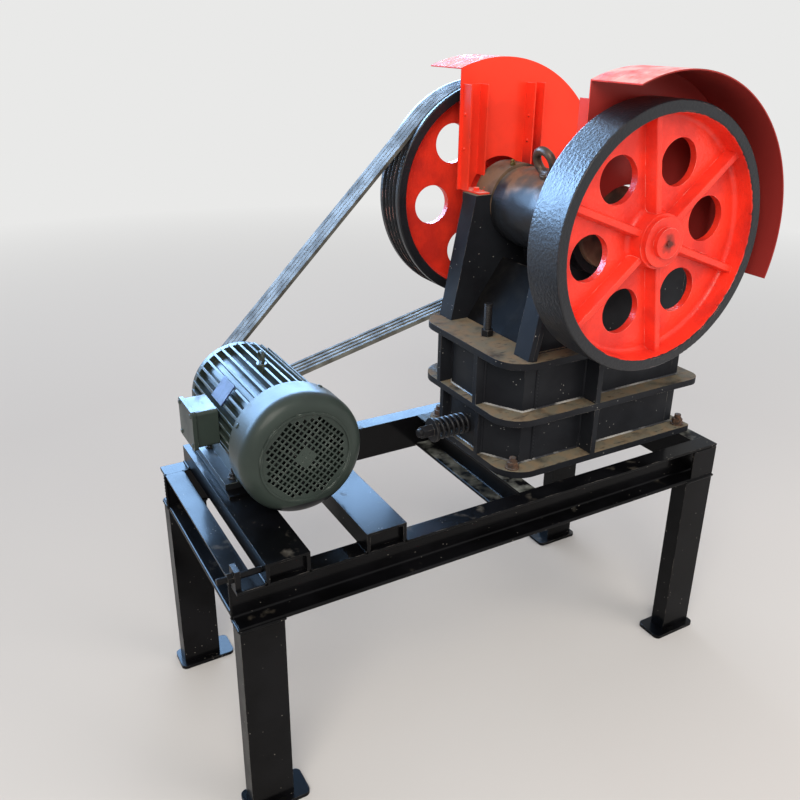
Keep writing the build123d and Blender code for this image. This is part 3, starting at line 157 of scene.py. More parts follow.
for name, place, size, power, tint, mirrored, lighting in LAMPS:
    lamp = linked(name, bpy.data.lights.new(name, "AREA"))
    lamp.data.shape = "RECTANGLE"
    lamp.data.size, lamp.data.size_y = size
    lamp.data.energy = power
    lamp.data.color = paint(tint)[:3]
    lamp.location = place
    lamp.visible_glossy = mirrored
    lamp.visible_diffuse = lighting
    lamp.visible_camera = False
    lamp.rotation_mode = "QUATERNION"
    lamp.rotation_quaternion = (LAMP_AIM - lamp.location).to_track_quat("-Z", "Y")

# Stand: rolled steel channel, cut and welded up at the corners and sprayed gloss black. The motor's beams stand on
# the long beams, and each leg has a foot plate with two bolt holes, drawn as flat black discs of painted shade. All
# sizes here are in metres.
STAND_PAINT = "#060607"
STAND_AGED = "#0E0E10"
STAND_WORN = "#6E6A64"
STAND_DUST = "#5C564C"
STAND_SPATTER = "#8E8A82"
FALLEN_DUST = "#6E7068"
FALLEN_DUST_GREY = "#85867F"
# Painted shade of the foot plates' bolt holes.
HOLE_SHADE = "#040404"
HOLE_SHADE_AGED = "#060606"
WELD_RADIUS = 0.0035
WELD_STEP = 0.005
WELD_SIDES = 6
WELD_RIPPLE = 0.35
HOLE_RADIUS = 0.009
HOLE_SPREAD = 0.052
HOLE_LIFT = 0.0004
HOLE_INSET = (0.03, 0.014)
CORNER_PLATE = 0.085
CHANNEL_FLANGE = 0.0085
SHEET = 0.005
END_SETBACK = 0.012
END_LIFT = 0.001
# How the layers of a finish are laid: the patches' clouds, the rounded edge that light catches and where paint
# is rubbed off it, which on the motor and the lifting eye also paints their highlights, specks of spatter, and dust
# that settles on faces that look up and is smeared along them, which on the red covers paints the sheen of their
# tops.
PATCH_CLOUD = (0.4, 0.62)
EDGE_RADIUS = 0.0015
RELIEF = 0.6
EDGE_BEND = (0.995, 0.88)
WORN_AND_GLINT_PATCH = 0.035
WORN_AND_GLINT_FADE = 0.12
WORN_AND_GLINT_ROUGH = 0.45
SPECK_SPACING = 1 / 70
SPECK_SHARE = (0.1, 0.05)
SPECK_PATCH = 0.06
SPECK_CLOUD = (0.52, 0.56)
LEVEL = (0.55, 0.95)
DUST_AND_SHEEN_PATCH = 0.05
DUST_AND_SHEEN_FADE = 0.25
DUST_AND_SHEEN_ROUGH = 0.9
GREY_PATCH = 0.03
GREY_CLOUD = (0.4, 0.6)
SMEARS_PER_METRE = (30, 95, 30)
SMEAR_CLOUD = (0.68, 0.62)
SMEAR_KEPT = 0.35


def blend(tree, share, under, over):
    """Colour socket that goes from one colour to another as share goes from 0 to 1."""
    return add(tree, "Mix", {0: share, 6: under, 7: over}, data_type="RGBA").outputs[2]


def ramp(tree, value, low, high, least=0.0):
    """Share socket that rises from least to 1 as a value goes from low to high, which may be the smaller."""
    return add(tree, "MapRange", {"Value": value, "From Min": low, "From Max": high, "To Min": least}).outputs[0]


def spots(tree, place, size, low, high, detail=4.0):
    """Share socket of soft patches of a real size in metres, from clouded noise."""
    cloud = add(tree, "TexNoise", {"Vector": place, "Scale": 1 / size, "Detail": detail}).outputs[0]
    return ramp(tree, cloud, low, high)


def product(tree, *shares):
    """Share socket of several shares multiplied."""
    result = shares[0]
    for share in shares[1:]:
        result = add(tree, "Math", {0: result, 1: share}, operation="MULTIPLY").outputs[0]
    return result


def coated(name, colour, aged, rough, aged_rough, patch=0.14, metal=0.0, mirror=0.5, gloss=0.0,
           gloss_rough=0.08, grain=0.003, depth=0.0002, worn=None, worn_and_glint_low=0.45, dust_and_sheen=None, dust_and_sheen_low=0.35,
           dust_and_sheen_grey="#6E6A62", specks=None, zones=()):
    """A finish on metal in layers: patchy base, painted zones, worn edges and glints, spatter, dust and sheen."""
    material, tree, output = blank(name)
    coords = add(tree, "TexCoord")
    place = coords.outputs["Object"]
    patches = spots(tree, place, patch, *PATCH_CLOUD)
    base = blend(tree, patches, paint(colour), paint(aged))
    roughness = add(tree, "MapRange", {"Value": patches, "To Min": rough, "To Max": aged_rough}).outputs[0]
    for zone in zones:
        share, tint = zone(tree, coords)
        base = blend(tree, share, base, tint)
    soft = add(tree, "Bevel", {"Radius": EDGE_RADIUS}, samples=4).outputs[0]
    fine = add(tree, "TexNoise", {"Vector": place, "Scale": 1 / grain, "Detail": 3.0}).outputs[0]
    relief = add(tree, "Bump", {"Height": fine, "Distance": depth, "Strength": RELIEF, "Normal": soft}).outputs[0]
    # Pale worn edges: rubbed paint, and on the motor and the lifting eye also painted highlights.
    if worn:
        facing = add(tree, "VectorMath", {0: soft, 1: add(tree, "NewGeometry").outputs["Normal"]},
                     operation="DOT_PRODUCT").outputs["Value"]
        bent = ramp(tree, facing, *EDGE_BEND)
        scuffs_and_glints = product(tree, bent, spots(tree, place, WORN_AND_GLINT_PATCH, worn_and_glint_low, worn_and_glint_low + WORN_AND_GLINT_FADE))
        base = blend(tree, scuffs_and_glints, base, paint(worn))
        roughness = add(tree, "Mix", {0: scuffs_and_glints, 2: roughness, 3: WORN_AND_GLINT_ROUGH}).outputs[0]
    if specks:
        cells = add(tree, "TexVoronoi", {"Vector": place, "Scale": 1 / SPECK_SPACING}).outputs["Distance"]
        dots = product(tree, ramp(tree, cells, *SPECK_SHARE), spots(tree, place, SPECK_PATCH, *SPECK_CLOUD))
        base = blend(tree, dots, base, paint(specks))
    # Dust on faces that look up; on the red covers the same layer is a painted sheen.
    if dust_and_sheen:
        upward = add(tree, "SeparateXYZ", {0: coords.outputs["Normal"]}).outputs[2]
        drifts_and_sheen_patches = spots(tree, place, DUST_AND_SHEEN_PATCH, dust_and_sheen_low, dust_and_sheen_low + DUST_AND_SHEEN_FADE, 6.0)
        long = add(tree, "VectorMath", {0: place, 1: SMEARS_PER_METRE}, operation="MULTIPLY").outputs[0]
        smear = add(tree, "TexNoise", {"Vector": long, "Scale": 1.0}).outputs[0]
        settled_dust_and_sheen = product(tree, ramp(tree, upward, *LEVEL), drifts_and_sheen_patches, ramp(tree, smear, *SMEAR_CLOUD, SMEAR_KEPT))
        greyed = blend(tree, spots(tree, place, GREY_PATCH, *GREY_CLOUD), paint(dust_and_sheen), paint(dust_and_sheen_grey))
        base = blend(tree, settled_dust_and_sheen, base, greyed)
        roughness = add(tree, "Mix", {0: settled_dust_and_sheen, 2: roughness, 3: DUST_AND_SHEEN_ROUGH}).outputs[0]
        if gloss:
            gloss = add(tree, "MapRange", {"Value": settled_dust_and_sheen, "To Min": gloss, "To Max": 0.0}).outputs[0]
    shader = add(tree, "BsdfPrincipled", {
        "Base Color": base, "Roughness": roughness, "Metallic": metal, "Specular IOR Level": mirror,
        "Normal": relief, "Coat Weight": gloss, "Coat Roughness": gloss_rough, "Coat Normal": relief})
    tree.links.new(shader.outputs[0], output.inputs[0])
    return material


def dress(slot_name, material, *nodes):
    """Gives the CAD nodes of a record slot, or only those named, their finish."""
    for name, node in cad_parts.items():
        if name in nodes or not nodes and node.data.materials[0].name.split(".")[0] == slot_name:
            for index in range(len(node.data.materials)):
                node.data.materials[index] = material


def tube(points, radius, sides, closed, ripple):
    """Round bar along a line of points, as (vertices, faces), with its radius rippled by a share."""
    points = [Vector(p) for p in points]
    count = len(points)
    corners, faces = [], []
    side = None
    for index, point in enumerate(points):
        before = points[index - 1] if closed or index else point
        after = points[(index + 1) % count] if closed or index < count - 1 else point
        ahead = (after - before).normalized()
        side = ahead.orthogonal() if side is None else side - ahead * side.dot(ahead)
        side.normalize()
        third = ahead.cross(side)
        swell = radius * (1 + ripple * (index % 2))
        for turn in range(sides):
            angle = 2 * pi * turn / sides
            corners.append(point + swell * (side * cos(angle) + third * sin(angle)))
    for index in range(count if closed else count - 1):
        a, b = index * sides, (index + 1) % count * sides
        faces += [(a + t, a + (t + 1) % sides, b + (t + 1) % sides, b + t) for t in range(sides)]
    if not closed:
        faces += [tuple(reversed(range(sides))), tuple(range((count - 1) * sides, count * sides))]
    return corners, faces


def lathe(place, axis, profile, sides):
    """Solid of revolution from (radius, height) points along an axis, as (vertices, faces)."""
    axis = Vector(axis).normalized()
    side = Vector((0, 0, 1)) if abs(axis.z) < 0.9 else Vector((1, 0, 0))
    side = (side - axis * side.dot(axis)).normalized()
    third = axis.cross(side)
    corners, faces = [], []
    for radius, height in profile:
        for index in range(sides):
            angle = 2 * pi * index / sides
            corners.append(Vector(place) + axis * height + radius * (side * cos(angle) + third * sin(angle)))
    for row in range(len(profile) - 1):
        a, b = row * sides, (row + 1) * sides
        faces += [(a + t, a + (t + 1) % sides, b + (t + 1) % sides, b + t) for t in range(sides)]
    faces += [tuple(reversed(range(sides))), tuple(range((len(profile) - 1) * sides, len(profile) * sides))]
    return corners, faces


def cuboid(low, high):
    """Rectangular bar between two corners, as (vertices, faces)."""
    corners = [(x, y, z) for z in (low[2], high[2]) for x, y in (
        (low[0], low[1]), (high[0], low[1]), (high[0], high[1]), (low[0], high[1]))]
    faces = [(3, 2, 1, 0), (4, 5, 6, 7)] + [(t, (t + 1) % 4, (t + 1) % 4 + 4, t + 4) for t in range(4)]
    return corners, faces


def piece(name, shapes, material, body, smooth=False):
    """One object made of several shapes, riding on a body, with its finish."""
    corners, faces = [], []
    for more_corners, more_faces in shapes:
        start = len(corners)
        corners += more_corners
        faces += [tuple(start + index for index in face) for face in more_faces]
    mesh = bpy.data.meshes.new(name)
    mesh.from_pydata(corners, [], faces)
    mesh.materials.append(material)
    if smooth:
        mesh.shade_smooth()
    thing = linked(name, mesh)
    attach(thing, body)
    return thing


def bead(points, closed=False):
    """Weld bead along a line of points, with the ripples of the welder's hand."""
    fine = []
    points = [Vector(p) for p in points]
    for a, b in zip(points, points[1:] + points[:1] if closed else points[1:]):
        steps = max(1, ceil((b - a).length / WELD_STEP))
        fine += [a.lerp(b, step / steps) for step in range(steps)]
    if not closed:
        fine.append(points[-1])
    return tube(fine, WELD_RADIUS, WELD_SIDES, closed, WELD_RIPPLE)


# Gloss black enamel: near-black that turns pale blue where it mirrors the sky, with fine dust in it and grey
# scuffs along handled edges.
stand_black = coated("stand_black_paint", STAND_PAINT, STAND_AGED, 0.3, 0.45, mirror=0.03, gloss=0.2,
                     gloss_rough=0.14, worn=STAND_WORN, worn_and_glint_low=0.5, dust_and_sheen=STAND_DUST, dust_and_sheen_low=0.62,
                     grain=0.006, depth=0.0001, specks=STAND_SPATTER)
dress("stand_black_paint", stand_black)
# The same enamel under the crusher: dull and greyish, from the stone dust that falls on it.
stand_dusty = coated("stand_dusty_paint", STAND_PAINT, STAND_AGED, 0.35, 0.5, mirror=0.05, gloss=0.08,
                     gloss_rough=0.2, worn=STAND_WORN, worn_and_glint_low=0.5, dust_and_sheen=FALLEN_DUST,
                     dust_and_sheen_grey=FALLEN_DUST_GREY, dust_and_sheen_low=0.42)
dress("stand_black_paint", stand_dusty, "crusher_end_beam", "crusher_cross_beam")
# Bolt holes: flat discs of dead black on the foot plates, painted shade for the dark inside each hole.
hole_shade_paint = coated("bolt_hole_painted_shade", HOLE_SHADE, HOLE_SHADE_AGED, 0.9, 0.9, mirror=0.1)
beam_low, beam_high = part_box("front_beam")
legs_low, legs_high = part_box("legs")
back_low, back_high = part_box("back_beam")
end_low, end_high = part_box("motor_end_beam")
motor_low, motor_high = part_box("motor_beams")
welds = []
channel_width = end_high.z - end_low.z
for x0 in (legs_low.x, legs_high.x - channel_width):
    for y0, y1 in ((legs_low.y, beam_high.y), (back_low.y, legs_high.y)):
        x1 = x0 + channel_width
        welds.append(bead([(x0, y0, legs_high.z), (x1, y0, legs_high.z), (x1, y1, legs_high.z),
                           (x0, y1, legs_high.z)], closed=True))
for x in (end_low.x, end_high.x):
    for y in (beam_high.y, back_low.y):
        welds.append(bead([(x, y, end_low.z), (x, y, end_high.z)]))
for x in (motor_low.x, motor_low.x + channel_width, motor_high.x - channel_width, motor_high.x):
    for y0, y1 in ((beam_low.y, beam_high.y), (back_low.y, back_high.y)):
        welds.append(bead([(x, y0, motor_low.z), (x, y1, motor_low.z)]))
piece("stand_welds", welds, stand_black, "root", smooth=True)
foot_low, foot_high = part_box("foot_plates")
hole_shade_discs = []
for x in (foot_low.x + HOLE_INSET[0], foot_high.x - HOLE_INSET[0]):
    for y in (foot_low.y + HOLE_INSET[1], foot_high.y - HOLE_INSET[1]):
        for step in (0, 1):
            spot = (x + (HOLE_SPREAD if x < 0 else -HOLE_SPREAD) * step, y, foot_high.z)
            hole_shade_discs.append(lathe(spot, (0, 0, 1), ((HOLE_RADIUS, 0), (HOLE_RADIUS, HOLE_LIFT)), 20))
piece("foot_bolt_hole_shade", hole_shade_discs, hole_shade_paint, "root")
corner = cuboid((beam_high.x - CORNER_PLATE, beam_low.y, beam_low.z + CHANNEL_FLANGE),
                (beam_high.x, beam_low.y + SHEET, beam_high.z - CHANNEL_FLANGE))
ends = []
for x in (motor_low.x, motor_high.x - channel_width):
    ends.append(cuboid((x + SHEET, motor_low.y + END_SETBACK, motor_low.z + END_LIFT),
                       (x + channel_width - SHEET, motor_low.y + END_SETBACK + SHEET, motor_high.z - SHEET)))
piece("stand_closing_plates", [corner] + ends, stand_black, "root")

# Crusher body: steel plate walls between three flanges, with upright ribs, all welded and sprayed satin charcoal.
# A guard plate closes the back behind the jaw casting, held by a bolt. Brown stone dust lies on what faces up.
BODY_PAINT = "#232529"
BODY_AGED = "#1B1C20"
BODY_WORN = "#7B7670"
BODY_DUST = "#84735C"
BODY_DUST_GREY = "#767060"
SPATTER = "#C9C6C0"
WELD_DARK = "#2A2B2F"
# Pale grey on the weld beads: a painted glint.
WELD_PAINTED_GLINT = "#A3A19C"
# Painted shade for the guard plate behind the pedestals.
GUARD_SHADE_BLACK = "#0C0C0E"
GUARD_SHADE_AGED = "#08080A"
GUARD_SHADE_DUST = "#3A342C"
WALL_Y = 0.170
WALL_X = (0.129, 0.675)
REAR_X = 0.075
REAR_Y = 0.077
REAR_SLOPE = 0.58
WALL_SEAM_X = 0.169
WALL_SEAM_Y = 0.145
PEDESTAL_X = (0.109, 0.556)
SIDE_RIB_X = (0.329, 0.345)
REAR_RIB_Y = ((-0.076, -0.060), (0.097, 0.113))
GUARD_BOLT = (0.259, -0.052, 1.070)
GUARD_SLOPE = (-0.8, 0, 0.6)


def hex_bolt(place, axis, washer, head, thick=0.002, height=0.007, chamfer=0.002, sides=20):
    """Washer with a hexagon head or nut on it, as two shapes; radii and heights in metres."""
    top = thick + height
    return [lathe(place, axis, ((washer, 0), (washer, thick)), sides),
            lathe(place, axis, ((head, thick), (head, top), (head - chamfer, top + 0.001)), 6)]


# Charcoal paint: dull and blue-grey, brown with dust on top, grey on scraped corners, white spatter beside welds.
body_charcoal = coated("body_charcoal_paint", BODY_PAINT, BODY_AGED, 0.42, 0.6, mirror=0.1, gloss=0.03,
                       worn=BODY_WORN, worn_and_glint_low=0.5, dust_and_sheen=BODY_DUST, dust_and_sheen_low=0.22, dust_and_sheen_grey=BODY_DUST_GREY,
                       specks=SPATTER, grain=0.004, depth=0.00025)
dress("body_charcoal_paint", body_charcoal)
# Welds: charcoal beads with pale grey patches, a painted glint along their crests.
weld_glint_paint = coated("weld_charcoal_painted_glint", WELD_DARK, WELD_PAINTED_GLINT, 0.35, 0.5, patch=0.07, mirror=0.4)
# Guard plate: matt black with dark dust, a painted shade behind the pedestals, where no light comes back.
guard_painted_shade = coated("guard_painted_shade", GUARD_SHADE_BLACK, GUARD_SHADE_AGED, 0.7, 0.85, mirror=0.1, dust_and_sheen=GUARD_SHADE_DUST, dust_and_sheen_low=0.4)
dress("body_charcoal_paint", guard_painted_shade, "rear_guard_plate")
base_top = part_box("base_flange")[1].z
middle_low, middle_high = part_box("middle_flange")
top_low, top_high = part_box("top_flange")
rear_path = [(WALL_X[1], WALL_Y), (WALL_X[0], WALL_Y), (REAR_X, REAR_Y)]
rear_path += [(x, -y) for x, y in reversed(rear_path)]
body_welds, upright_welds = [], []
for z in (base_top, middle_low.z, middle_high.z, top_low.z):
    body_welds.append(bead([(x, y, z) for x, y in rear_path]))
for side in (-1, 1):
    y = side * WALL_Y
    body_welds.append(bead([(PEDESTAL_X[1], y, top_high.z), (WALL_X[1], y, top_high.z)]))
body_welds.append(bead([(WALL_SEAM_X, -WALL_SEAM_Y, top_high.z), (WALL_SEAM_X, WALL_SEAM_Y, top_high.z)]))
for low, high in ((base_top, middle_low.z), (middle_high.z, top_low.z)):
    for side in (-1, 1):
        for x in (WALL_SEAM_X, *SIDE_RIB_X):
            upright_welds.append(bead([(x, side * WALL_Y, low), (x, side * WALL_Y, high)]))
    for pair in REAR_RIB_Y:
        for y in pair:
            x = REAR_X + max(0.0, abs(y) - REAR_Y) * REAR_SLOPE
            upright_welds.append(bead([(x, y, low), (x, y, high)]))
for side in (-1, 1):
    upright_welds.append(bead([(x, side * WALL_Y, top_high.z) for x in PEDESTAL_X]))
piece("body_welds", body_welds, weld_glint_paint, "root", smooth=True)
piece("upright_welds", upright_welds, body_charcoal, "root", smooth=True)
guard_bolt = hex_bolt(GUARD_BOLT, GUARD_SLOPE, 0.013, 0.010)

# Bearing housings and the swinging jaw's head: iron castings, the housings bolted down on the pedestals and the
# jaw hung on the shaft between them. They are left as cast, brown with dust and old grease, and a brass grease
# fitting is screwed into each housing.
CAST_IRON = "#7C6450"
CAST_AGED = "#3B342E"
CAST_DUST = "#7A6C5C"
BRASS = "#7A6A3A"
BRASS_AGED = "#4E4630"
LOWER_CASTING_BLACK = "#1E1F22"
BLACK_LIMIT = (1.375, 1.350)
BLACK_RAGGED = (1 / 18, 0.12)
SHAFT_X = 0.321
SHAFT_Z = 1.252
HOUSING_RADIUS = 0.100
GREASE_Y = 0.152
GREASE_ANGLE = 105
FITTING_BASE = ((0.008, -0.001), (0.008, 0.007), (0.007, 0.008))
FITTING_TIP = ((0.005, 0.008), (0.005, 0.013), (0.003, 0.016))


def direction_at(angle):
    """Direction square to the shafts, from an angle in degrees above +X."""
    return Vector((cos(radians(angle)), 0, sin(radians(angle))))


def ragged(tree, coords, value, size, sway, detail=4.0):
    """A height or distance socket disturbed by noise of a real size, for an edge that wanders."""
    cloud = add(tree, "TexNoise", {"Vector": coords.outputs["Object"], "Scale": 1 / size, "Detail": detail})
    return add(tree, "Math", {0: cloud.outputs[0], 1: sway, 2: value}, operation="MULTIPLY_ADD").outputs[0]


def lower_black_zone(tree, coords):
    """The lower part of the casting in near-black, below a ragged upper edge."""
    height = add(tree, "SeparateXYZ", {0: coords.outputs["Object"]}).outputs[2]
    return ramp(tree, ragged(tree, coords, height, *BLACK_RAGGED), *BLACK_LIMIT), paint(LOWER_CASTING_BLACK)


# Bare cast iron: brown and grainy, with almost no shine.
cast_brown = coated("bare_cast_iron", CAST_IRON, CAST_AGED, 0.5, 0.75, patch=0.08, grain=0.0025, depth=0.0004,
                    mirror=0.25, dust_and_sheen=CAST_DUST, dust_and_sheen_low=0.4)
dress("bare_cast_iron", cast_brown)
# Jaw casting: smoother, rubbed brown iron above and near-black with a soft shine below.
head_paint = coated("swing_jaw_paint", CAST_IRON, CAST_AGED, 0.35, 0.6, patch=0.05, grain=0.004, depth=0.0005,
                    mirror=0.2, gloss=0.15, dust_and_sheen=CAST_DUST, dust_and_sheen_low=0.45, zones=(lower_black_zone,))
dress("bare_cast_iron", head_paint, "pitman")
# Brass: a small dull yellow glint.
brass = coated("grease_fitting_brass", BRASS, BRASS_AGED, 0.35, 0.6, metal=0.8, patch=0.008)
out = direction_at(GREASE_ANGLE)
fittings = []
for side in (-1, 1):
    place = Vector((SHAFT_X, side * GREASE_Y, SHAFT_Z)) + out * HOUSING_RADIUS
    fittings.append(lathe(place, out, FITTING_BASE, 6))
    fittings.append(lathe(place, out, FITTING_TIP, 16))
piece("grease_fittings", fittings, brass, "root")

# Jaw and cheek plates: castings of manganese steel that the stone is crushed between. They are wedged and bolted
# into the body and onto the swinging jaw, so that they can be changed when worn.
PLATE_GREY = "#5A554F"
PLATE_AGED = "#3A3632"
PLATE_DUST = "#6E6458"

# Manganese steel: grey-brown, with a dull bruised skin and dust in its hollows.
manganese = coated("manganese_steel", PLATE_GREY, PLATE_AGED, 0.5, 0.75, metal=0.35, patch=0.06, grain=0.003,
                   depth=0.0006, dust_and_sheen=PLATE_DUST, dust_and_sheen_low=0.45)
dress("manganese_steel", manganese)

# Toggle, wedge, studs, spring and lifting eye: forged and turned steel parts that hold and set the swinging jaw.
# They lie in their seats or run in nuts, and the studs have rolled threads where the nuts run.
OILY_STEEL = "#242427"
OILY_AGED = "#181717"
OILY_WORN = "#7A756E"
OILY_DUST = "#5A5045"
EYE_BROWN = "#5E4E42"
EYE_AGED = "#3C332C"
# Pale edge colour of the eye: rub wear and a painted highlight.
EYE_WORN_AND_GLINT = "#B9AA94"
STUD_PITCH = 0.0025
THREAD_DEPTH = 0.0008
# Start, direction, radius and length of each bare thread.
STUDS = (((0.129, 0, 0.957), (0, 0, 1), 0.010, 0.068), ((-0.076, 0, 0.698), (1, 0, 0), 0.011, 0.006))

# Oily steel: nearly black with a soft shine, grey where rubbed.
dark_steel = coated("dark_steel", OILY_STEEL, OILY_AGED, 0.32, 0.5, mirror=0.3, metal=0.25, patch=0.05,
                    worn=OILY_WORN, worn_and_glint_low=0.4, dust_and_sheen=OILY_DUST, dust_and_sheen_low=0.55)
dress("dark_steel", dark_steel)
# Lifting eye: worn forged steel, brown in the hollow and pale round the crown where hooks have rubbed; the pale
# edge also paints the ring's bright highlights.
eye_steel = coated("lifting_eye_steel", EYE_BROWN, EYE_AGED, 0.35, 0.55, mirror=0.3, metal=0.3, patch=0.02,
                   worn=EYE_WORN_AND_GLINT, worn_and_glint_low=0.35)
dress("dark_steel", eye_steel, "lifting_eye")
threads = []
for place, axis, radius, length in STUDS:
    profile = [(radius + THREAD_DEPTH * (step % 2), STUD_PITCH * step) for step in range(int(length / STUD_PITCH))]
    threads.append(lathe(place, axis, profile, 20))
piece("stud_threads", threads + guard_bolt, dark_steel, "root")

# Anchor bolts: plain steel bolts with washers, through the crusher's base flange into the stand. They have no
# paint left and stand in the dust of the flange.
RUST = "#5E4434"
RUST_AGED = "#3A302A"
RUST_DUST = "#7A6A58"

# Rusty steel: rough red-brown that doesn't shine, with pale dust on top.
rusty = coated("rusty_steel", RUST, RUST_AGED, 0.7, 0.9, metal=0.2, patch=0.01, dust_and_sheen=RUST_DUST, dust_and_sheen_low=0.35,
               grain=0.0012, depth=0.0004)
dress("rusty_steel", rusty)

# Flywheels: iron castings keyed on the ends of the shaft, turned at the rim and grooved there on the belt side.
# Web, ribs and hub are sprayed orange-red, and the rim is left black.
WHEEL_RED = "#F03A27"
WHEEL_RED_AGED = "#CE2E22"
WHEEL_WORN = "#E9A294"
WHEEL_BLACK = "#1C1D21"
WHEEL_GREASE = "#5A2018"
RIM_LIMIT = (0.2801, 0.2809)
RIM_RAGGED = (1 / 60, 0.004)
GREASE_LIMIT = (0.046, 0.030)
GREASE_RAGGED = (1 / 45, 0.045)


def shaft_reach(tree, coords):
    """Distance socket from the shaft's axis."""
    place = add(tree, "SeparateXYZ", {0: coords.outputs["Object"]})
    flat = add(tree, "CombineXYZ", {0: place.outputs[0], 2: place.outputs[2]}).outputs[0]
    return add(tree, "VectorMath", {0: flat, 1: (SHAFT_X, 0, SHAFT_Z)}, operation="DISTANCE").outputs["Value"]


def rim_zone(tree, coords):
    """The rim outside its inner edge, in black."""
    reach = ragged(tree, coords, shaft_reach(tree, coords), *RIM_RAGGED, detail=2.0)
    return ramp(tree, reach, *RIM_LIMIT), paint(WHEEL_BLACK)


def grease_zone(tree, coords):
    """Brown grease crept out round the shaft's end."""
    reach = ragged(tree, coords, shaft_reach(tree, coords), *GREASE_RAGGED)
    return ramp(tree, reach, *GREASE_LIMIT), paint(WHEEL_GREASE)


# Orange-red enamel on a cast skin: strong colour, darker in patches, pale on worn edges and greasy at the hub.
wheel_red = coated("wheel_red_paint", WHEEL_RED, WHEEL_RED_AGED, 0.3, 0.45, patch=0.09, mirror=0.3, gloss=0.16,
                   grain=0.007, depth=0.002, worn=WHEEL_WORN, worn_and_glint_low=0.5, zones=(rim_zone, grease_zone))
dress("wheel_red_paint", wheel_red)

# Covers: thin steel sheet, bent round each wheel and riveted to two welded posts, which are bolted down on the
# housings. They are sprayed in the wheels' red.
COVER_RED = "#FA4029"
COVER_AGED = "#E63C28"
# Painted shade of the covers' wheel sides, and the pale painted sheen of their tops.
COVER_SHADED = "#96302C"
COVER_WORN = "#3A2520"
COVER_PAINTED_SHEEN = "#F0B9AE"
COVER_PAINTED_SHEEN_RED = "#E8948A"
FACES_WHEEL = (0.5, 0.7)
RIVETS = ((0.191, 0.236, 1.475), (0.191, 0.236, 1.385), (0.399, 0.232, 1.465), (0.399, 0.232, 1.398))
RIVET_HEAD = ((0.0045, 0), (0.004, 0.002), (0.002, 0.003))
FOOT_BOLTS = ((0.205, 0.190), (0.236, 0.186))
FOOT_SHEET_TOP = 1.280


def wheel_side_shade_zone(tree, coords):
    """The sides that face the wheels, in darker red: painted shade for the dim inside of each cover."""
    place = add(tree, "SeparateXYZ", {0: coords.outputs["Object"]})
    facing = add(tree, "SeparateXYZ", {0: coords.outputs["Normal"]})
    outward = product(tree, add(tree, "Math", {0: place.outputs[1]}, operation="SIGN").outputs[0], facing.outputs[1])
    plate = ramp(tree, outward, *FACES_WHEEL)
    flat = add(tree, "CombineXYZ", {0: place.outputs[0], 2: place.outputs[2]}).outputs[0]
    spoke = add(tree, "VectorMath", {0: flat, 1: (SHAFT_X, 0, SHAFT_Z)}, operation="SUBTRACT").outputs[0]
    spoke = add(tree, "VectorMath", {0: spoke}, operation="NORMALIZE").outputs[0]
    lean = add(tree, "VectorMath", {0: spoke, 1: coords.outputs["Normal"]}, operation="DOT_PRODUCT").outputs["Value"]
    band = ramp(tree, lean, -FACES_WHEEL[0], -FACES_WHEEL[1])
    share = add(tree, "Math", {0: plate, 1: band}, operation="MAXIMUM").outputs[0]
    return share, paint(COVER_SHADED)


# Red enamel on sheet: even and bright, dark on bare edges, with painted shade on the sides that face the wheels
# and a pale pink layer laid like dust on the tops, a painted sheen that makes them nearly white.
cover_red = coated("cover_red_paint", COVER_RED, COVER_AGED, 0.34, 0.45, mirror=0.12, gloss=0.04, worn=COVER_WORN,
                   worn_and_glint_low=0.55, dust_and_sheen=COVER_PAINTED_SHEEN, dust_and_sheen_grey=COVER_PAINTED_SHEEN_RED, dust_and_sheen_low=0.3,
                   zones=(wheel_side_shade_zone,))
dress("cover_red_paint", cover_red)
fasteners = [lathe(place, (-1, 0, 0), RIVET_HEAD, 14) for place in RIVETS]
for x, y in FOOT_BOLTS:
    fasteners += hex_bolt((x, y, FOOT_SHEET_TOP), (0, 0, 1), 0.012, 0.009, sides=18)
piece("cover_fasteners", fasteners, cover_red, "root")

# Motor: finned cast frame bolted to the rails by its feet, with a pressed fan cover and a screwed terminal box.
# All is sprayed grey-green over the black feet, and a bare plate is where the rating is stamped on a real one.
MOTOR_PAINT = "#353E39"
MOTOR_AGED = "#2C3430"
# Pale edge colour of the motor: wear, and a painted highlight on the grille's lip.
MOTOR_WORN_AND_GLINT = "#8A938B"
MOTOR_DUST = "#6A6A60"
MOTOR_BLACK = "#1B1D1F"
MOTOR_BLACK_AGED = "#151617"
RATING_BLUE = "#26305A"
RATING_AGED = "#1E2748"
FEET_LIMIT = (0.694, 0.692)
MOTOR_X = -0.467
MOTOR_Z = 0.808
LID_SCREW_INSET = 0.011
LID_SCREW = ((0.0055, 0), (0.0055, 0.002), (0.004, 0.003))
COVER_SCREW_ANGLES = (60, 150, 240, 330)
COVER_SCREW = ((0.006, 0), (0.006, 0.002), (0.004, 0.0035))
FAN_COVER_EDGE = -0.092
FAN_COVER_RADIUS = 0.1455
PLATE_ANGLE = 140
PLATE_REACH = 0.131
PLATE_Y = 0.080
PLATE_LOW = (-0.028, -0.036, -0.002)
PLATE_HIGH = (0.028, 0.036, 0.0012)
FOOT_BOLT_X = 0.108
FOOT_BOLT_Y = (0.022, 0.200)
FOOT_BOLT_Z = 0.692
FOOT_STUD = ((0.006, 0.0125), (0.006, 0.0245), (0.005, 0.0255))


def feet_zone(tree, coords):
    """The feet below their upper face, in black."""
    height = add(tree, "SeparateXYZ", {0: coords.outputs["Object"]}).outputs[2]
    return ramp(tree, height, *FEET_LIMIT), paint(MOTOR_BLACK)


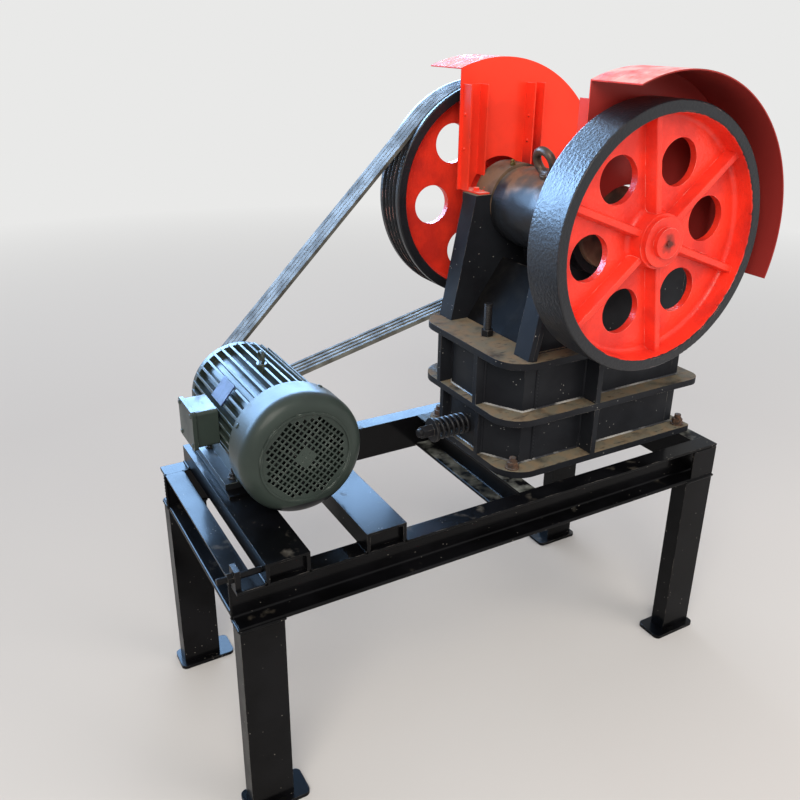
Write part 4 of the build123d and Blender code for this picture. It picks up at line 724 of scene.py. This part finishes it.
# Grey-green enamel: satin, blue-white along the tops of the fins, pale where they are knocked; the pale edges
# also paint the bright highlight round the grille's lip.
motor_green = coated("motor_green_enamel", MOTOR_PAINT, MOTOR_AGED, 0.3, 0.42, mirror=0.2, gloss=0.05,
                     grain=0.005, depth=0.0003, worn=MOTOR_WORN_AND_GLINT, worn_and_glint_low=0.5, dust_and_sheen=MOTOR_DUST, dust_and_sheen_low=0.6,
                     zones=(feet_zone,))
dress("motor_green_enamel", motor_green)
# Fan and pulley: matt black, so that they stay in the shade.
motor_black = coated("motor_black_parts", MOTOR_BLACK, MOTOR_BLACK_AGED, 0.5, 0.6, mirror=0.2)
dress("motor_black_parts", motor_black)
# Rating plate: enamelled sheet, a flat dark blue.
plate_blue = coated("rating_plate", RATING_BLUE, RATING_AGED, 0.4, 0.5, patch=0.02, mirror=0.3)
screws = []
lid_low, lid_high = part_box("terminal_box")
for y in (lid_low.y + LID_SCREW_INSET, lid_high.y - LID_SCREW_INSET):
    for z in (lid_low.z + LID_SCREW_INSET, lid_high.z - LID_SCREW_INSET):
        screws.append(lathe((lid_low.x, y, z), (-1, 0, 0), LID_SCREW, 16))
for angle in COVER_SCREW_ANGLES:
    outward = direction_at(angle)
    place = Vector((MOTOR_X, FAN_COVER_EDGE, MOTOR_Z)) + outward * FAN_COVER_RADIUS
    screws.append(lathe(place, outward, COVER_SCREW, 16))
piece("motor_screws", screws, motor_green, "root")
plate_out = direction_at(PLATE_ANGLE)
plate_side = Vector((-plate_out.z, 0, plate_out.x))
plate_centre = Vector((MOTOR_X, PLATE_Y, MOTOR_Z)) + plate_out * PLATE_REACH
corners, faces = cuboid(PLATE_LOW, PLATE_HIGH)
corners = [plate_centre + plate_side * a + Vector((0, b, 0)) + plate_out * c for a, b, c in corners]
piece("rating_plate", [(corners, faces)], plate_blue, "root")
foot_bolts = []
for x in (MOTOR_X - FOOT_BOLT_X, MOTOR_X + FOOT_BOLT_X):
    for y in FOOT_BOLT_Y:
        place = (x, y, FOOT_BOLT_Z)
        foot_bolts += hex_bolt(place, (0, 0, 1), 0.014, 0.0105, thick=0.0025, height=0.009, chamfer=0.0015)
        foot_bolts.append(lathe(place, (0, 0, 1), FOOT_STUD, 16))
piece("motor_foot_bolts", foot_bolts, dark_steel, "root")

# Belts: four worn V belts side by side, rubber over cord, run tight from the motor's pulley round the belt side's
# flywheel.
BELT_GREY = "#75756E"
BELT_AGED = "#53524C"

# Belt rubber: dusty grey-green with a fine rubbed grain.
belt_rubber = coated("belt_rubber", BELT_GREY, BELT_AGED, 0.6, 0.75, patch=0.05, mirror=0.2, grain=0.0015,
                     depth=0.0002)
dress("belt_rubber", belt_rubber)

# Shafts: the crusher's eccentric shaft and the motor's, both turned from steel bar and held in their bearings, with
# keys for the wheels and the pulley.
SHAFT_STEEL = "#9A9A98"
SHAFT_AGED = "#7E7C78"

# Turned steel: bright, with a thin oil film.
bright = coated("bright_steel", SHAFT_STEEL, SHAFT_AGED, 0.25, 0.4, metal=1.0, patch=0.05)
dress("bright_steel", bright)

# The sizes with the pieces added.
low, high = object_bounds()
